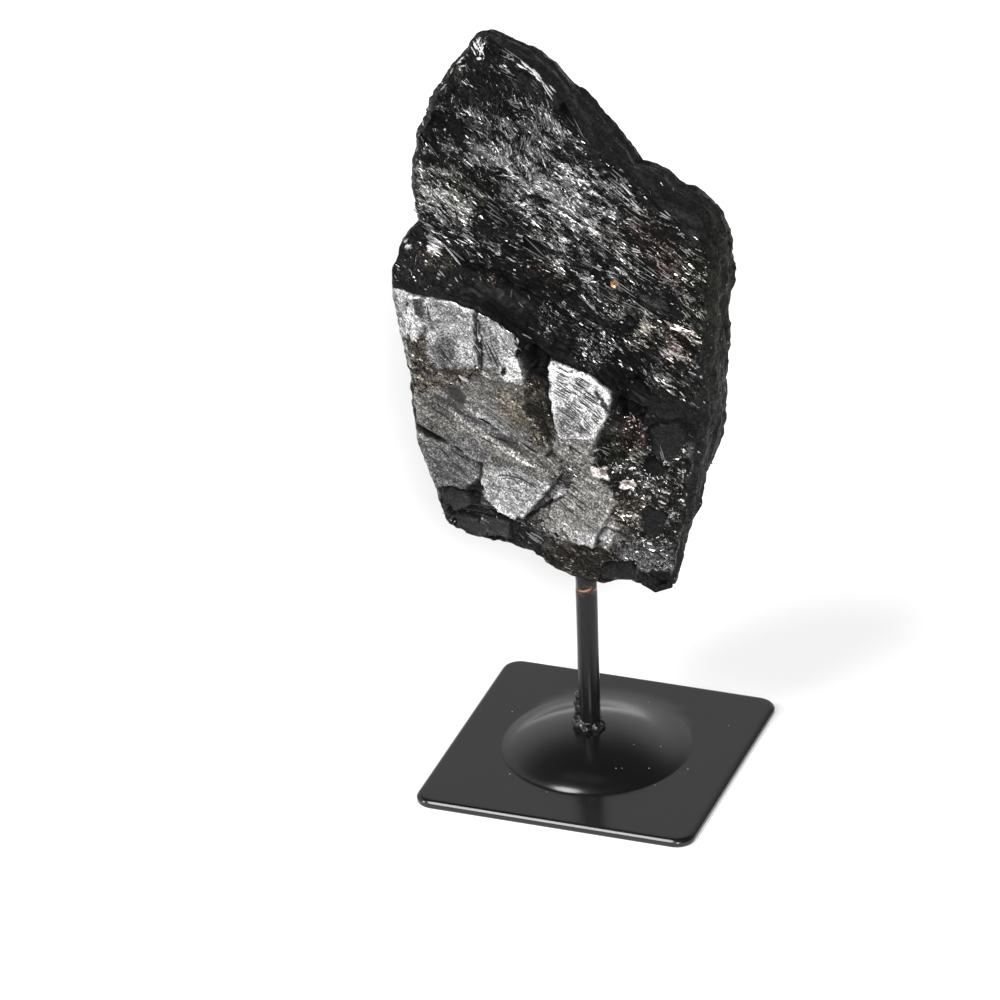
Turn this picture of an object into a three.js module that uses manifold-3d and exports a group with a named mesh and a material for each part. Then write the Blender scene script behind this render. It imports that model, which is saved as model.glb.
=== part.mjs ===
// A lump of black tourmaline on a small metal stand.
// Millimetres, +Z up, the front of the stone towards -Y. The origin is under the middle of the whole object.
//
// The stone is one closed skin stretched over a few named lines: the rim of its front, the rim of its back,
// and the lip and the crease of the diagonal ledge between its lower block and its recessed upper face.
// Flat facets, dents and broken steps then shape the skin, and larger crystals are fused on.
import * as THREE from 'three';
import { mergeVertices } from 'three/addons/utils/BufferGeometryUtils.js';
import Module from 'manifold-3d';

const wasm = await Module();
wasm.setup();

// ---------------------------------------------------------------- sizes of the stand

const PLATE_SIDE = 80;
const PLATE_THICKNESS = 2.4;
const PLATE_CORNER_RADIUS = 5.2;
const PLATE_EDGE_ROUND = 0.8;
const SHEET_THICKNESS = 2;
const DOME_RADIUS = 25;
const DOME_RISE = 7.3;
const DOME_CENTRE_X = -0.7;
const DOME_FULLNESS = 2.5;
const HOLLOW_RADIUS = 23.5;
const POST_RADIUS = 3;
const POST_X = -1.7;
const POST_Y = -0.4;
const POST_FOOT_Z = 6.6;
const POST_TOP_Z = 84;
const DRILLING_BELOW = 40;
const CLEARANCE = 0.3;
const DOME_TOP_Z = PLATE_THICKNESS + DOME_RISE;

// ---------------------------------------------------------------- lines of the stone
// Each point is [x, y, z] from the middle of the plate's underside.

const LIP_LEFT = [-49.3, -15.5, 147];
const CREASE_LEFT = [-43.2, -8, 163.3];
const LIP_RIGHT = [35, -10, 117];
const CREASE_RIGHT = [35.3, -10, 119.5];
const FOOT_LEFT = [-34.9, -13, 74];
const FOOT_RIGHT = [24, -8, 63];
const PEAK = [-24.5, -2.5, 219.6];
const SHOULDER = [39, -10, 168.5];

const FRONT_LEFT_LOW = [
  FOOT_LEFT, [-37.4, -13.5, 77.5], [-37.6, -14, 81.5], [-39.5, -15, 88], [-43, -16, 98], [-44.3, -16, 113.5],
  [-45.4, -16, 124], [-46.8, -16, 133], [-49.2, -16, 143.5], LIP_LEFT,
];
const FRONT_LEFT_LEDGE = [
  LIP_LEFT, [-50, -14, 151.5], [-47.9, -12.5, 157], [-45.3, -11.5, 162.2], CREASE_LEFT,
];
const FRONT_LEFT_HIGH = [
  CREASE_LEFT, [-44.9, -8, 170], [-45, -8, 176], [-43.9, -8, 182.3], [-42.9, -8, 188.4], [-39.2, -8, 195.3],
  [-38, -8, 201], [-34.7, -7.5, 206.8], [-32.1, -7, 211.4], [-28.4, -6, 216.2], [-26.6, -4, 218.6], PEAK,
];
const FRONT_RIGHT_LOW = [
  FOOT_RIGHT, [26.5, -9, 70], [30.2, -10, 85], [32.1, -10, 101], [34.4, -10, 114], LIP_RIGHT,
];
const FRONT_RIGHT_LEDGE = [LIP_RIGHT, CREASE_RIGHT];
const FRONT_RIGHT_HIGH = [
  CREASE_RIGHT, [36.1, -10, 132], [37.5, -10, 147.5], [38.9, -10, 162.5], SHOULDER,
];
const FRONT_BOTTOM = [
  FOOT_LEFT, [-30.3, -13, 73], [-25.7, -13, 72], [-19, -12.5, 71], [-12.3, -12, 69.5], [-8, -11.5, 65],
  [-1.4, -11, 63], [5.3, -10.5, 62.3], [9.8, -10, 63.7], [16.5, -9.5, 63.6], [20.8, -9, 61.8], FOOT_RIGHT,
];
const FRONT_TOP = [
  PEAK, [-19.5, -6, 218.6], [-12, -8, 215.6], [-6, -8.5, 211.9], [-1, -9, 205], [4.6, -9, 195.8],
  [14, -9, 189.6], [24.9, -9.5, 179.4], [33.2, -10, 175.5], SHOULDER,
];
const LIP = [
  LIP_LEFT, [-40.4, -18.5, 147.8], [-31.8, -19.3, 147.8], [-23.1, -19.3, 145.2], [-17.5, -19, 142],
  [-12.7, -18, 138], [-8.2, -15, 135.4], [-3.4, -18, 133.6], [8, -19, 131], [14, -17.5, 126],
  [16.5, -12.5, 121], [22.8, -10.8, 118.6], LIP_RIGHT,
];
const CREASE = [
  CREASE_LEFT, [-39.2, -9, 160], [-30.2, -8.2, 154.2], [-19.6, -6.5, 149], [-13, -4.5, 144.1],
  [-7.8, -3.4, 141.3], [-1.6, -3.2, 137.7], [4.7, -3.6, 133.4], [10.7, -5, 128.6], [15.4, -7, 123.6],
  [22.3, -9, 121], CREASE_RIGHT,
];

const BACK_FOOT_LEFT = [-33, 7, 78];
const BACK_FOOT_RIGHT = [22.3, 0.5, 60];
const BACK_PEAK = [-26, 6, 215.6];
const BACK_SHOULDER = [38.4, 9, 165];
const BACK_LEFT = [
  BACK_FOOT_LEFT, [-39.5, 8.5, 93], [-42.5, 10, 112], [-45, 10.5, 131], [-46.5, 10, 149], [-44, 9, 162],
  [-44, 9, 176], [-41.5, 8.5, 190], [-36, 8, 202.5], [-30.4, 7, 211], BACK_PEAK,
];
const BACK_RIGHT = [
  BACK_FOOT_RIGHT, [23, 3.5, 64.3], [24, 5.5, 69.6], [25.8, 7, 75.4], [28.3, 8, 81.5], [30.8, 8.5, 91],
  [33.4, 9, 97.2], [35, 9, 103.5], [36.5, 9.5, 118.8], [38.1, 9.5, 134.3], [37.4, 9.5, 143.4],
  [39.3, 9.5, 155], BACK_SHOULDER,
];
const BACK_BOTTOM = [BACK_FOOT_LEFT, [-22, 9, 73], [-9, 10, 69], [4, 9, 65], [15, 6, 62.5], BACK_FOOT_RIGHT];
const BACK_TOP = [
  BACK_PEAK, [-20, 8.5, 212.4], [-13, 9, 210.4], [-9.9, 9, 208], [-5, 9, 202.9], [1, 9, 198],
  [6, 9, 193.1], [10.3, 9, 187.7], [14.2, 9, 182.5], [20.9, 9, 180.3], [24.4, 9, 177.6], [29.7, 9, 176.2],
  [33.6, 9, 173.4], [36.4, 9, 170.6], BACK_SHOULDER,
];

// ---------------------------------------------------------------- facets, dents and crystals of the stone

// A facet is a flat face: its corners in x and z, the depth y at its middle, and its slope along x and z.
const FACETS = {
  leftEdge: {
    corners: [[-48.5, 147], [-43, 148], [-42, 137], [-43.6, 124], [-46, 126]],
    y: -17.6,
    slope: [-0.55, 0],
  },
  upperBlock: {
    corners: [[-43, 147], [-32, 147.4], [-25.2, 145], [-25.2, 126], [-34, 122.5], [-42.5, 127]],
    y: -19.2,
    slope: [0.02, -0.05],
  },
  besideCrack: {
    corners: [[-23.6, 144], [-17.5, 141.2], [-13, 136.5], [-12.4, 125.5], [-16, 124], [-23.6, 128]],
    y: -18.6,
    slope: [0.1, -0.02],
  },
  brightDiamond: {
    corners: [[-3.8, 132.4], [7.5, 130], [13.6, 125.4], [12.4, 120], [8.6, 110.5], [5.5, 105], [-3, 111]],
    y: -19.2,
    slope: [0.04, -0.08],
  },
  longSlope: {
    corners: [[-43, 121], [-28, 121], [-13, 117], [-5, 107], [-7, 101], [-24, 98.5], [-42, 108]],
    y: -18.2,
    slope: [0.03, 0.03],
  },
  lowWedge: {
    corners: [[-24, 96], [-15, 97.4], [-3, 99], [-8.5, 89], [-14.6, 81.4], [-20, 85], [-24, 90]],
    y: -17.6,
    slope: [0.08, 0.1],
  },
  lowMiddle: {
    corners: [[-3, 92], [6, 91.4], [10.5, 87], [5.6, 75.6], [0, 77], [-6, 84]],
    y: -14.8,
    slope: [0.06, 0.06],
  },
  brokenFoot: {
    corners: [[-37, 87.5], [-27, 86.5], [-20, 82.6], [-14, 78.8], [-9, 76], [-9, 68.5], [-34, 75]],
    y: -11.4,
    slope: [0.02, 0.06],
  },
};
// How far a facet's border takes to run out into the rest of the face.
const FACET_EDGE = 2.6;

// A dent is an oval hollow or groove: its middle, half length, half width, depth,
// and its turn in degrees from +X towards +Z.
const DENTS = {
  darkPit: { x: -34, z: 194, long: 6, wide: 5, turn: 10, depth: 4.5 },
  crack: { x: -24.4, z: 135, long: 11, wide: 1.3, turn: 92, depth: 2.2 },
  hollowByDiamond: { x: -8, z: 124, long: 13, wide: 4.6, turn: 112, depth: 4.5 },
  dropByDiamond: { x: 14.5, z: 113, long: 16, wide: 5, turn: 70, depth: 4.5 },
  ovalPit: { x: -32, z: 118, long: 3.6, wide: 2.4, turn: -35, depth: 1.8 },
  leafPit: { x: -39, z: 104, long: 6.5, wide: 2, turn: -12, depth: 2 },
  notch: { x: -26.5, z: 89.5, long: 5, wide: 3.2, turn: 60, depth: 3 },
  upperGroove: { x: -20, z: 168, long: 22, wide: 2.4, turn: -34, depth: 1.2 },
  middleGroove: { x: 8, z: 160, long: 20, wide: 2.2, turn: -33, depth: 1.3 },
  rightGroove: { x: 22, z: 146, long: 17, wide: 2.4, turn: -34, depth: 1.4 },
  topHollow: { x: -16, z: 206, long: 10, wide: 5, turn: -40, depth: 1.6 },
  rightPit: { x: 20, z: 132, long: 6, wide: 4, turn: 30, depth: 2 },
  lowGroove: { x: -20, z: 107, long: 20, wide: 2.2, turn: -30, depth: 1.2 },
};

const FIBRE_TURN = THREE.MathUtils.degToRad(-32);
const FIBRE = new THREE.Vector2(Math.cos(FIBRE_TURN), Math.sin(FIBRE_TURN));
const CRYSTAL_ROWS = 6;
const CRYSTAL_COLUMNS = 5;
const BACK_BULGE = 5.5;
const SIDE_BULGE = 1.2;

// How finely the skin is divided. Both counts are even, because the back has half as many columns and rows.
const COLUMNS = 34;
const ROWS_BLOCK = 22;
const ROWS_LEDGE = 4;
const ROWS_FACE = 26;

// ---------------------------------------------------------------- colours and surfaces

const blackTourmaline = new THREE.MeshStandardMaterial({ color: 0x1c1b1c, roughness: 0.38, metalness: 0.15 });
const blackPaint = new THREE.MeshStandardMaterial({ color: 0x17181a, roughness: 0.45, metalness: 0.1 });
const blackBar = new THREE.MeshStandardMaterial({ color: 0x1a1a1b, roughness: 0.4, metalness: 0.2 });
const weldMetal = new THREE.MeshStandardMaterial({ color: 0x222224, roughness: 0.3, metalness: 0.4 });

// ---------------------------------------------------------------- small tools

// A repeatable number from 0 to 1 for a pair of whole numbers and a channel.
function chance(i, j, channel) {
  const wave = Math.sin(i * 127.1 + j * 311.7 + channel * 74.7) * 43758.5453;
  return wave - Math.floor(wave);
}

function smoothstep(low, high, value) {
  const t = Math.min(Math.max((value - low) / (high - low), 0), 1);
  return t * t * (3 - 2 * t);
}

// Running length at each point of a line of vectors.
function runningLength(line) {
  const lengths = [0];
  for (let i = 1; i < line.length; i += 1) {
    lengths.push(lengths[i - 1] + line[i].distanceTo(line[i - 1]));
  }
  return lengths;
}

// Points of a line of corners at the given shares of its length.
function pointsAt(corners, shares) {
  const line = corners.map((corner) => new THREE.Vector3(...corner));
  const lengths = runningLength(line);
  const total = lengths[lengths.length - 1];
  return shares.map((share) => {
    const wanted = share * total;
    let k = 1;
    while (k < line.length - 1 && lengths[k] < wanted) {
      k += 1;
    }
    const t = (wanted - lengths[k - 1]) / (lengths[k] - lengths[k - 1]);
    return line[k - 1].clone().lerp(line[k], t);
  });
}

function evenShares(count) {
  return Array.from({ length: count + 1 }, (_, i) => i / count);
}

// A sheet stretched between four lines of points: rows from bottom to top, each from left to right.
function stretchSheet(bottom, top, left, right) {
  const columns = bottom.length - 1;
  const rows = left.length - 1;
  return left.map((leftPoint, j) => {
    const v = j / rows;
    return bottom.map((bottomPoint, i) => {
      const u = i / columns;
      const point = new THREE.Vector3();
      point.addScaledVector(bottomPoint, 1 - v).addScaledVector(top[i], v);
      point.addScaledVector(leftPoint, 1 - u).addScaledVector(right[j], u);
      point.addScaledVector(bottom[0], -(1 - u) * (1 - v)).addScaledVector(bottom[columns], -u * (1 - v));
      point.addScaledVector(top[0], -(1 - u) * v).addScaledVector(top[columns], -u * v);
      return point;
    });
  });
}

// Shingled ridges, from about 0 to 1: every cell of an uneven net holds one long roof with a gentle side
// and a steep side, and the highest roof shows. s runs along the ridges and t across them.
function shingles(s, t, cellLength, cellWidth) {
  const i0 = Math.floor(s / cellLength);
  const j0 = Math.floor(t / cellWidth);
  let height = 0;
  for (let i = i0 - 1; i <= i0 + 1; i += 1) {
    for (let j = j0 - 1; j <= j0 + 1; j += 1) {
      const along = Math.abs(s / cellLength - i - 0.15 - 0.7 * chance(i, j, 1));
      const across = t / cellWidth - j - 0.15 - 0.7 * chance(i, j, 2);
      const fall = across > 0 ? 0.55 * across : -1.6 * across;
      height = Math.max(height, 0.55 + 0.45 * chance(i, j, 3) - fall - Math.max(0, 1.2 * along - 0.35));
    }
  }
  return height;
}

// A closed geometry as a solid for cutting and joining.
function solidOf(geometry) {
  const bare = geometry.index ? geometry.toNonIndexed() : geometry.clone();
  bare.deleteAttribute('normal');
  bare.deleteAttribute('uv');
  const merged = mergeVertices(bare, 1e-4);
  const mesh = new wasm.Mesh({
    numProp: 3,
    vertProperties: merged.attributes.position.array,
    triVerts: new Uint32Array(merged.index.array),
  });
  return new wasm.Manifold(mesh);
}

function geometryOf(solid) {
  const { vertProperties, triVerts } = solid.getMesh();
  const geometry = new THREE.BufferGeometry();
  geometry.setAttribute('position', new THREE.BufferAttribute(vertProperties, 3));
  geometry.setIndex(new THREE.BufferAttribute(triVerts, 1));
  return geometry;
}

// A turned shape, with its axis along +Z.
function turned(profile, segments) {
  const points = profile.map(([radius, z]) => new THREE.Vector2(radius, z));
  return new THREE.LatheGeometry(points, segments).rotateX(Math.PI / 2);
}

function named(name, geometry, material) {
  const mesh = new THREE.Mesh(geometry, material);
  mesh.name = name;
  return mesh;
}

// ---------------------------------------------------------------- the stone's skin

// How far outside a ring of corners a point lies; less than zero inside. The corners run clockwise.
function distanceOutside(corners, x, z) {
  let farthest = -Infinity;
  corners.forEach(([x0, z0], k) => {
    const [x1, z1] = corners[(k + 1) % corners.length];
    const length = Math.hypot(x1 - x0, z1 - z0);
    farthest = Math.max(farthest, ((x1 - x0) * (z - z0) - (z1 - z0) * (x - x0)) / length);
  });
  return farthest;
}

function facetDepth(facet, x, z) {
  const middleX = facet.corners.reduce((sum, corner) => sum + corner[0], 0) / facet.corners.length;
  const middleZ = facet.corners.reduce((sum, corner) => sum + corner[1], 0) / facet.corners.length;
  return facet.y + facet.slope[0] * (x - middleX) + facet.slope[1] * (z - middleZ);
}

function dentDepth(dent, x, z) {
  const turn = THREE.MathUtils.degToRad(dent.turn);
  const along = ((x - dent.x) * Math.cos(turn) + (z - dent.z) * Math.sin(turn)) / dent.long;
  const across = ((z - dent.z) * Math.cos(turn) - (x - dent.x) * Math.sin(turn)) / dent.wide;
  const left = Math.max(0, 1 - along * along - across * across);
  return dent.depth * left ** 0.7;
}

// The front's depth y at x and z, from the depth that the stretched sheet has there.
// Inside a facet the surface is flat. Outside it is ridged along the fibres, and rougher at lower right.
function frontDepth(x, z, sheetDepth) {
  const s = x * FIBRE.x + z * FIBRE.y;
  const t = z * FIBRE.x - x * FIBRE.y;
  const rough = 1.5 + 1.6 * smoothstep(2, 16, x) * smoothstep(122, 108, z);
  let depth = sheetDepth + rough * (0.5 - shingles(s, t, 17, 6.5));
  Object.values(FACETS).forEach((facet) => {
    const share = smoothstep(FACET_EDGE, 0, distanceOutside(facet.corners, x, z));
    depth += share * (facetDepth(facet, x, z) - depth);
  });
  Object.values(DENTS).forEach((dent) => {
    depth += dentDepth(dent, x, z);
  });
  return depth;
}

function frontSheet() {
  const across = evenShares(COLUMNS);
  const lip = pointsAt(LIP, across);
  const crease = pointsAt(CREASE, across);
  const blockRows = evenShares(ROWS_BLOCK);
  const ledgeRows = evenShares(ROWS_LEDGE);
  const faceRows = evenShares(ROWS_FACE);
  const block = stretchSheet(
    pointsAt(FRONT_BOTTOM, across),
    lip,
    pointsAt(FRONT_LEFT_LOW, blockRows),
    pointsAt(FRONT_RIGHT_LOW, blockRows),
  );
  const ledge = stretchSheet(
    lip,
    crease,
    pointsAt(FRONT_LEFT_LEDGE, ledgeRows),
    pointsAt(FRONT_RIGHT_LEDGE, ledgeRows),
  );
  const face = stretchSheet(
    crease,
    pointsAt(FRONT_TOP, across),
    pointsAt(FRONT_LEFT_HIGH, faceRows),
    pointsAt(FRONT_RIGHT_HIGH, faceRows),
  );
  [block, face].forEach((sheet) => {
    sheet.slice(1, -1).forEach((row) => {
      row.slice(1, -1).forEach((point) => {
        point.y = frontDepth(point.x, point.z, point.y);
      });
    });
  });
  ledge.slice(1, -1).forEach((row) => {
    row.slice(1, -1).forEach((point) => {
      point.z += 1.6 * (shingles(point.x, point.y, 14, 3.5) - 0.5);
    });
  });
  return [...block.slice(0, -1), ...ledge.slice(0, -1), ...face];
}

// The ring of points round a sheet, anticlockwise as seen from the front: along the foot, up the right,
// back over the top and down the left.
function ringOf(sheet) {
  const top = sheet.length - 1;
  const last = sheet[0].length - 1;
  return [
    ...sheet[0].slice(0, last),
    ...sheet.slice(0, top).map((row) => row[last]),
    ...sheet[top].slice(1).reverse(),
    ...sheet.slice(1).reverse().map((row) => row[0]),
  ];
}

// Shares of the length at every second point, so that the back's rim follows the front's.
function everySecondShare(line) {
  const lengths = runningLength(line);
  const total = lengths[lengths.length - 1];
  return lengths.filter((_, i) => i % 2 === 0).map((length) => length / total);
}

function backSheet(front) {
  const top = front.length - 1;
  const last = COLUMNS;
  const rim = {
    bottom: pointsAt(BACK_BOTTOM, everySecondShare(front[0])),
    top: pointsAt(BACK_TOP, everySecondShare(front[top])),
    left: pointsAt(BACK_LEFT, everySecondShare(front.map((row) => row[0]))),
    right: pointsAt(BACK_RIGHT, everySecondShare(front.map((row) => row[last]))),
  };
  const sheet = stretchSheet(rim.bottom, rim.top, rim.left, rim.right);
  const rows = sheet.length - 1;
  const columns = sheet[0].length - 1;
  sheet.forEach((row, j) => {
    row.forEach((point, i) => {
      const inside = Math.min(i, columns - i) > 0 && Math.min(j, rows - j) > 0;
      const swell = 16 * (i / columns) * (1 - i / columns) * (j / rows) * (1 - j / rows);
      const s = point.x * FIBRE.x - point.z * FIBRE.y;
      const t = point.z * FIBRE.x + point.x * FIBRE.y;
      if (inside) {
        point.y += BACK_BULGE * swell ** 0.6 + 2.2 * (shingles(s, t, 26, 12) - 0.5);
      }
    });
  });
  return sheet;
}

// A ring of points part of the way from the front's rim to the back's, swollen outwards and ridged.
function sideRing(frontRing, backRing, share) {
  return frontRing.map((point, i) => {
    const count = frontRing.length;
    const ahead = frontRing[(i + 1) % count].clone().sub(frontRing[(i + count - 1) % count]);
    const outward = new THREE.Vector3(ahead.z, 0, -ahead.x).normalize();
    const steps = 1.5 * (shingles(point.z - point.x, 20 * share + 0.4 * point.z, 13, 8) - 0.5);
    return point.clone().lerp(backRing[i], share).addScaledVector(outward, SIDE_BULGE + steps);
  });
}

// Points half way between neighbours are added, so that the back's rim has as many points as the front's.
function doubled(ring) {
  return ring.flatMap((point, i) => [point, point.clone().lerp(ring[(i + 1) % ring.length], 0.5)]);
}

function halved(ring) {
  return ring.filter((_, i) => i % 2 === 0);
}

function tourmalineSkin() {
  const triangles = [];
  const front = frontSheet();
  const back = backSheet(front);
  const frontRing = ringOf(front);
  const backRing = ringOf(back);
  const nearRing = sideRing(frontRing, doubled(backRing), 0.33);
  const farRing = sideRing(halved(frontRing), backRing, 0.7);
  const quad = (a, b, c, d) => triangles.push(a, b, c, a, c, d);

  for (let j = 0; j < front.length - 1; j += 1) {
    for (let i = 0; i < COLUMNS; i += 1) {
      quad(front[j][i], front[j][i + 1], front[j + 1][i + 1], front[j + 1][i]);
    }
  }
  for (let j = 0; j < back.length - 1; j += 1) {
    for (let i = 0; i < back[0].length - 1; i += 1) {
      quad(back[j][i], back[j + 1][i], back[j + 1][i + 1], back[j][i + 1]);
    }
  }
  frontRing.forEach((point, i) => {
    const next = (i + 1) % frontRing.length;
    quad(point, nearRing[i], nearRing[next], frontRing[next]);
  });
  farRing.forEach((point, i) => {
    const next = (i + 1) % farRing.length;
    const first = nearRing[2 * i];
    const middle = nearRing[2 * i + 1];
    const last = nearRing[(2 * i + 2) % nearRing.length];
    triangles.push(first, point, middle, middle, point, farRing[next], middle, farRing[next], last);
    quad(point, backRing[i], backRing[next], farRing[next]);
  });
  return { geometry: new THREE.BufferGeometry().setFromPoints(triangles), front };
}

// ---------------------------------------------------------------- crystals fused to the stone

// A six-sided crystal along +X, flattened towards the face it lies on, with an uneven point at each end.
function crystalGeometry(length, radius, flatness) {
  const half = length / 2;
  const profile = [[0, -half], [radius, 2.4 * radius - half], [0.8 * radius, half - 1.2 * radius], [0, half]];
  return turned(profile, 6).rotateY(Math.PI / 2).scale(1, flatness, 1);
}

// Crystals lie along the fibres on the upper face, half sunk in it, one in each cell of a loose net.
// Near the rim they are short enough to stay on the face.
function faceCrystals(front) {
  const firstRow = ROWS_BLOCK + ROWS_LEDGE;
  const crystals = [];
  for (let row = 0; row < CRYSTAL_ROWS; row += 1) {
    for (let column = 0; column < CRYSTAL_COLUMNS; column += 1) {
      const luck = (channel) => chance(row, column, channel);
      const i = Math.round((column + 0.3 + 0.4 * luck(6)) * (COLUMNS / CRYSTAL_COLUMNS));
      const j = firstRow + Math.round((row + 0.4 + 0.5 * luck(7)) * (ROWS_FACE / (CRYSTAL_ROWS + 0.4)));
      const room = 4 * Math.min(i, COLUMNS - i);
      const length = Math.min(10 + 16 * luck(8), room);
      const radius = 1.6 + 1.6 * luck(9);
      const crystal = crystalGeometry(length, radius, 0.4 + 0.25 * luck(10));
      crystal.rotateX(0.7 * (luck(11) - 0.5)).rotateZ(0.12 * (luck(12) - 0.5));
      crystal.rotateY(-FIBRE_TURN + 0.3 * (luck(13) - 0.5));
      crystal.translate(front[j][i].x, front[j][i].y + 0.1 * radius, front[j][i].z);
      crystals.push(solidOf(crystal));
    }
  }
  return crystals;
}

function tourmaline() {
  const { geometry, front } = tourmalineSkin();
  let stone = solidOf(geometry);
  faceCrystals(front).forEach((crystal) => {
    stone = stone.add(crystal);
  });
  const reach = POST_RADIUS + CLEARANCE;
  const drilling = new THREE.CylinderGeometry(reach, reach, DRILLING_BELOW, 24).rotateX(Math.PI / 2);
  drilling.translate(POST_X, POST_Y, POST_TOP_Z + CLEARANCE - DRILLING_BELOW / 2);
  stone = stone.subtract(solidOf(drilling));
  return named('tourmaline', geometryOf(stone), blackTourmaline);
}

// ---------------------------------------------------------------- the stand

// Height of a low dome over its rim, round-shouldered and nearly flat on top.
function domeHeight(radius, rise, reach) {
  return rise * (1 - Math.min(radius / reach, 1) ** DOME_FULLNESS);
}

// The outline of a dome from its sunk foot up to the axis, in the given number of steps.
function domeProfile(base, rise, reach, steps) {
  const profile = [[0, base - 2], [reach, base - 2]];
  for (let k = 0; k < steps; k += 1) {
    const radius = reach * Math.cos((k / steps) * (Math.PI / 2));
    profile.push([radius, base + domeHeight(radius, rise, reach)]);
  }
  return [...profile, [0, base + rise]];
}

function roundedSquare(side, radius) {
  const half = side / 2;
  const shape = new THREE.Shape();
  shape.absarc(half - radius, half - radius, radius, 0, Math.PI / 2);
  shape.absarc(radius - half, half - radius, radius, Math.PI / 2, Math.PI);
  shape.absarc(radius - half, radius - half, radius, Math.PI, 1.5 * Math.PI);
  shape.absarc(half - radius, radius - half, radius, 1.5 * Math.PI, 2 * Math.PI);
  return shape;
}

function basePlate() {
  const inset = PLATE_SIDE - 2 * PLATE_EDGE_ROUND;
  const rounded = new THREE.ExtrudeGeometry(roundedSquare(inset, PLATE_CORNER_RADIUS - PLATE_EDGE_ROUND), {
    depth: PLATE_THICKNESS - 2.4 * PLATE_EDGE_ROUND,
    curveSegments: 6,
    bevelSize: PLATE_EDGE_ROUND,
    bevelThickness: PLATE_EDGE_ROUND,
    bevelSegments: 2,
  }).translate(0, 0, 1.4 * PLATE_EDGE_ROUND);
  const square = new THREE.ExtrudeGeometry(roundedSquare(PLATE_SIDE, PLATE_CORNER_RADIUS), {
    depth: PLATE_THICKNESS - PLATE_EDGE_ROUND,
    curveSegments: 6,
    bevelEnabled: false,
  });
  const dome = turned(domeProfile(PLATE_THICKNESS, DOME_RISE, DOME_RADIUS, 6), 36);
  dome.translate(DOME_CENTRE_X, 0, 0);
  const hollow = turned(domeProfile(0, DOME_TOP_Z - SHEET_THICKNESS, HOLLOW_RADIUS, 4), 28);
  hollow.translate(DOME_CENTRE_X, 0, 0);
  const hole = new THREE.CylinderGeometry(POST_RADIUS + CLEARANCE, POST_RADIUS + CLEARANCE, 30, 20);
  hole.rotateX(Math.PI / 2).translate(POST_X, POST_Y, 0);
  const sheet = solidOf(rounded).add(solidOf(square)).add(solidOf(dome));
  const plate = sheet.subtract(solidOf(hollow)).subtract(solidOf(hole));
  return named('base_plate', geometryOf(plate), blackPaint);
}

function post() {
  const bar = new THREE.CylinderGeometry(POST_RADIUS, POST_RADIUS, POST_TOP_Z - POST_FOOT_Z, 24);
  bar.rotateX(Math.PI / 2).translate(POST_X, POST_Y, (POST_TOP_Z + POST_FOOT_Z) / 2);
  return named('post', bar, blackBar);
}

// Beads of weld round the foot of the post: turn in degrees, height over the dome, radius.
// They run all the way round and climb its left side.
const WELD_BEADS = [
  [15, 0.2, 1.7], [70, 0.3, 1.8], [128, 0.5, 1.9], [180, 0.9, 2.2], [228, 0.8, 2], [275, 0.3, 1.8],
  [325, 0.2, 1.7], [196, 3.4, 1.8], [208, 5.8, 1.5], [198, 8, 1.4], [206, 10, 1.2],
];

function weldBead() {
  let beads = null;
  WELD_BEADS.forEach(([turn, height, radius]) => {
    const angle = THREE.MathUtils.degToRad(turn);
    const reach = POST_RADIUS + 0.35 * radius;
    const bead = new THREE.SphereGeometry(radius, 6, 4).rotateX(0.4 * height);
    bead.translate(POST_X + reach * Math.cos(angle), POST_Y + reach * Math.sin(angle), DOME_TOP_Z + height);
    beads = beads ? beads.add(solidOf(bead)) : solidOf(bead);
  });
  const bar = new THREE.CylinderGeometry(POST_RADIUS + CLEARANCE, POST_RADIUS + CLEARANCE, 60, 16);
  bar.rotateX(Math.PI / 2).translate(POST_X, POST_Y, DOME_TOP_Z);
  const dome = turned(domeProfile(PLATE_THICKNESS + CLEARANCE, DOME_RISE, DOME_RADIUS, 6), 18);
  dome.translate(DOME_CENTRE_X, 0, 0);
  const weld = beads.subtract(solidOf(bar)).subtract(solidOf(dome));
  return named('weld_bead', geometryOf(weld), weldMetal);
}

// ---------------------------------------------------------------- the whole object

const whole = new THREE.Group();
whole.add(basePlate(), post(), weldBead(), tourmaline());
const middle = new THREE.Box3().setFromObject(whole).getCenter(new THREE.Vector3());
whole.position.set(-middle.x, -middle.y, 0);

export default whole;
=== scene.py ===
"""A lump of black tourmaline on a small black metal stand, in plain soft studio light.

The stone is one closed skin of fine relief, with thousands of small blades of crystal lying on it.
The stand is a pressed plate with a dome, a post and a lumpy weld. Stone and stand are worked out in
millimetres from the middle of the plate's underside, and then put into metres in the part's own frame.
"""

import logging
from dataclasses import dataclass, field
from enum import Enum
from typing import Mapping, Sequence

import bpy
import numpy as np
from mathutils import Matrix, Vector
from numpy.typing import NDArray


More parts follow.
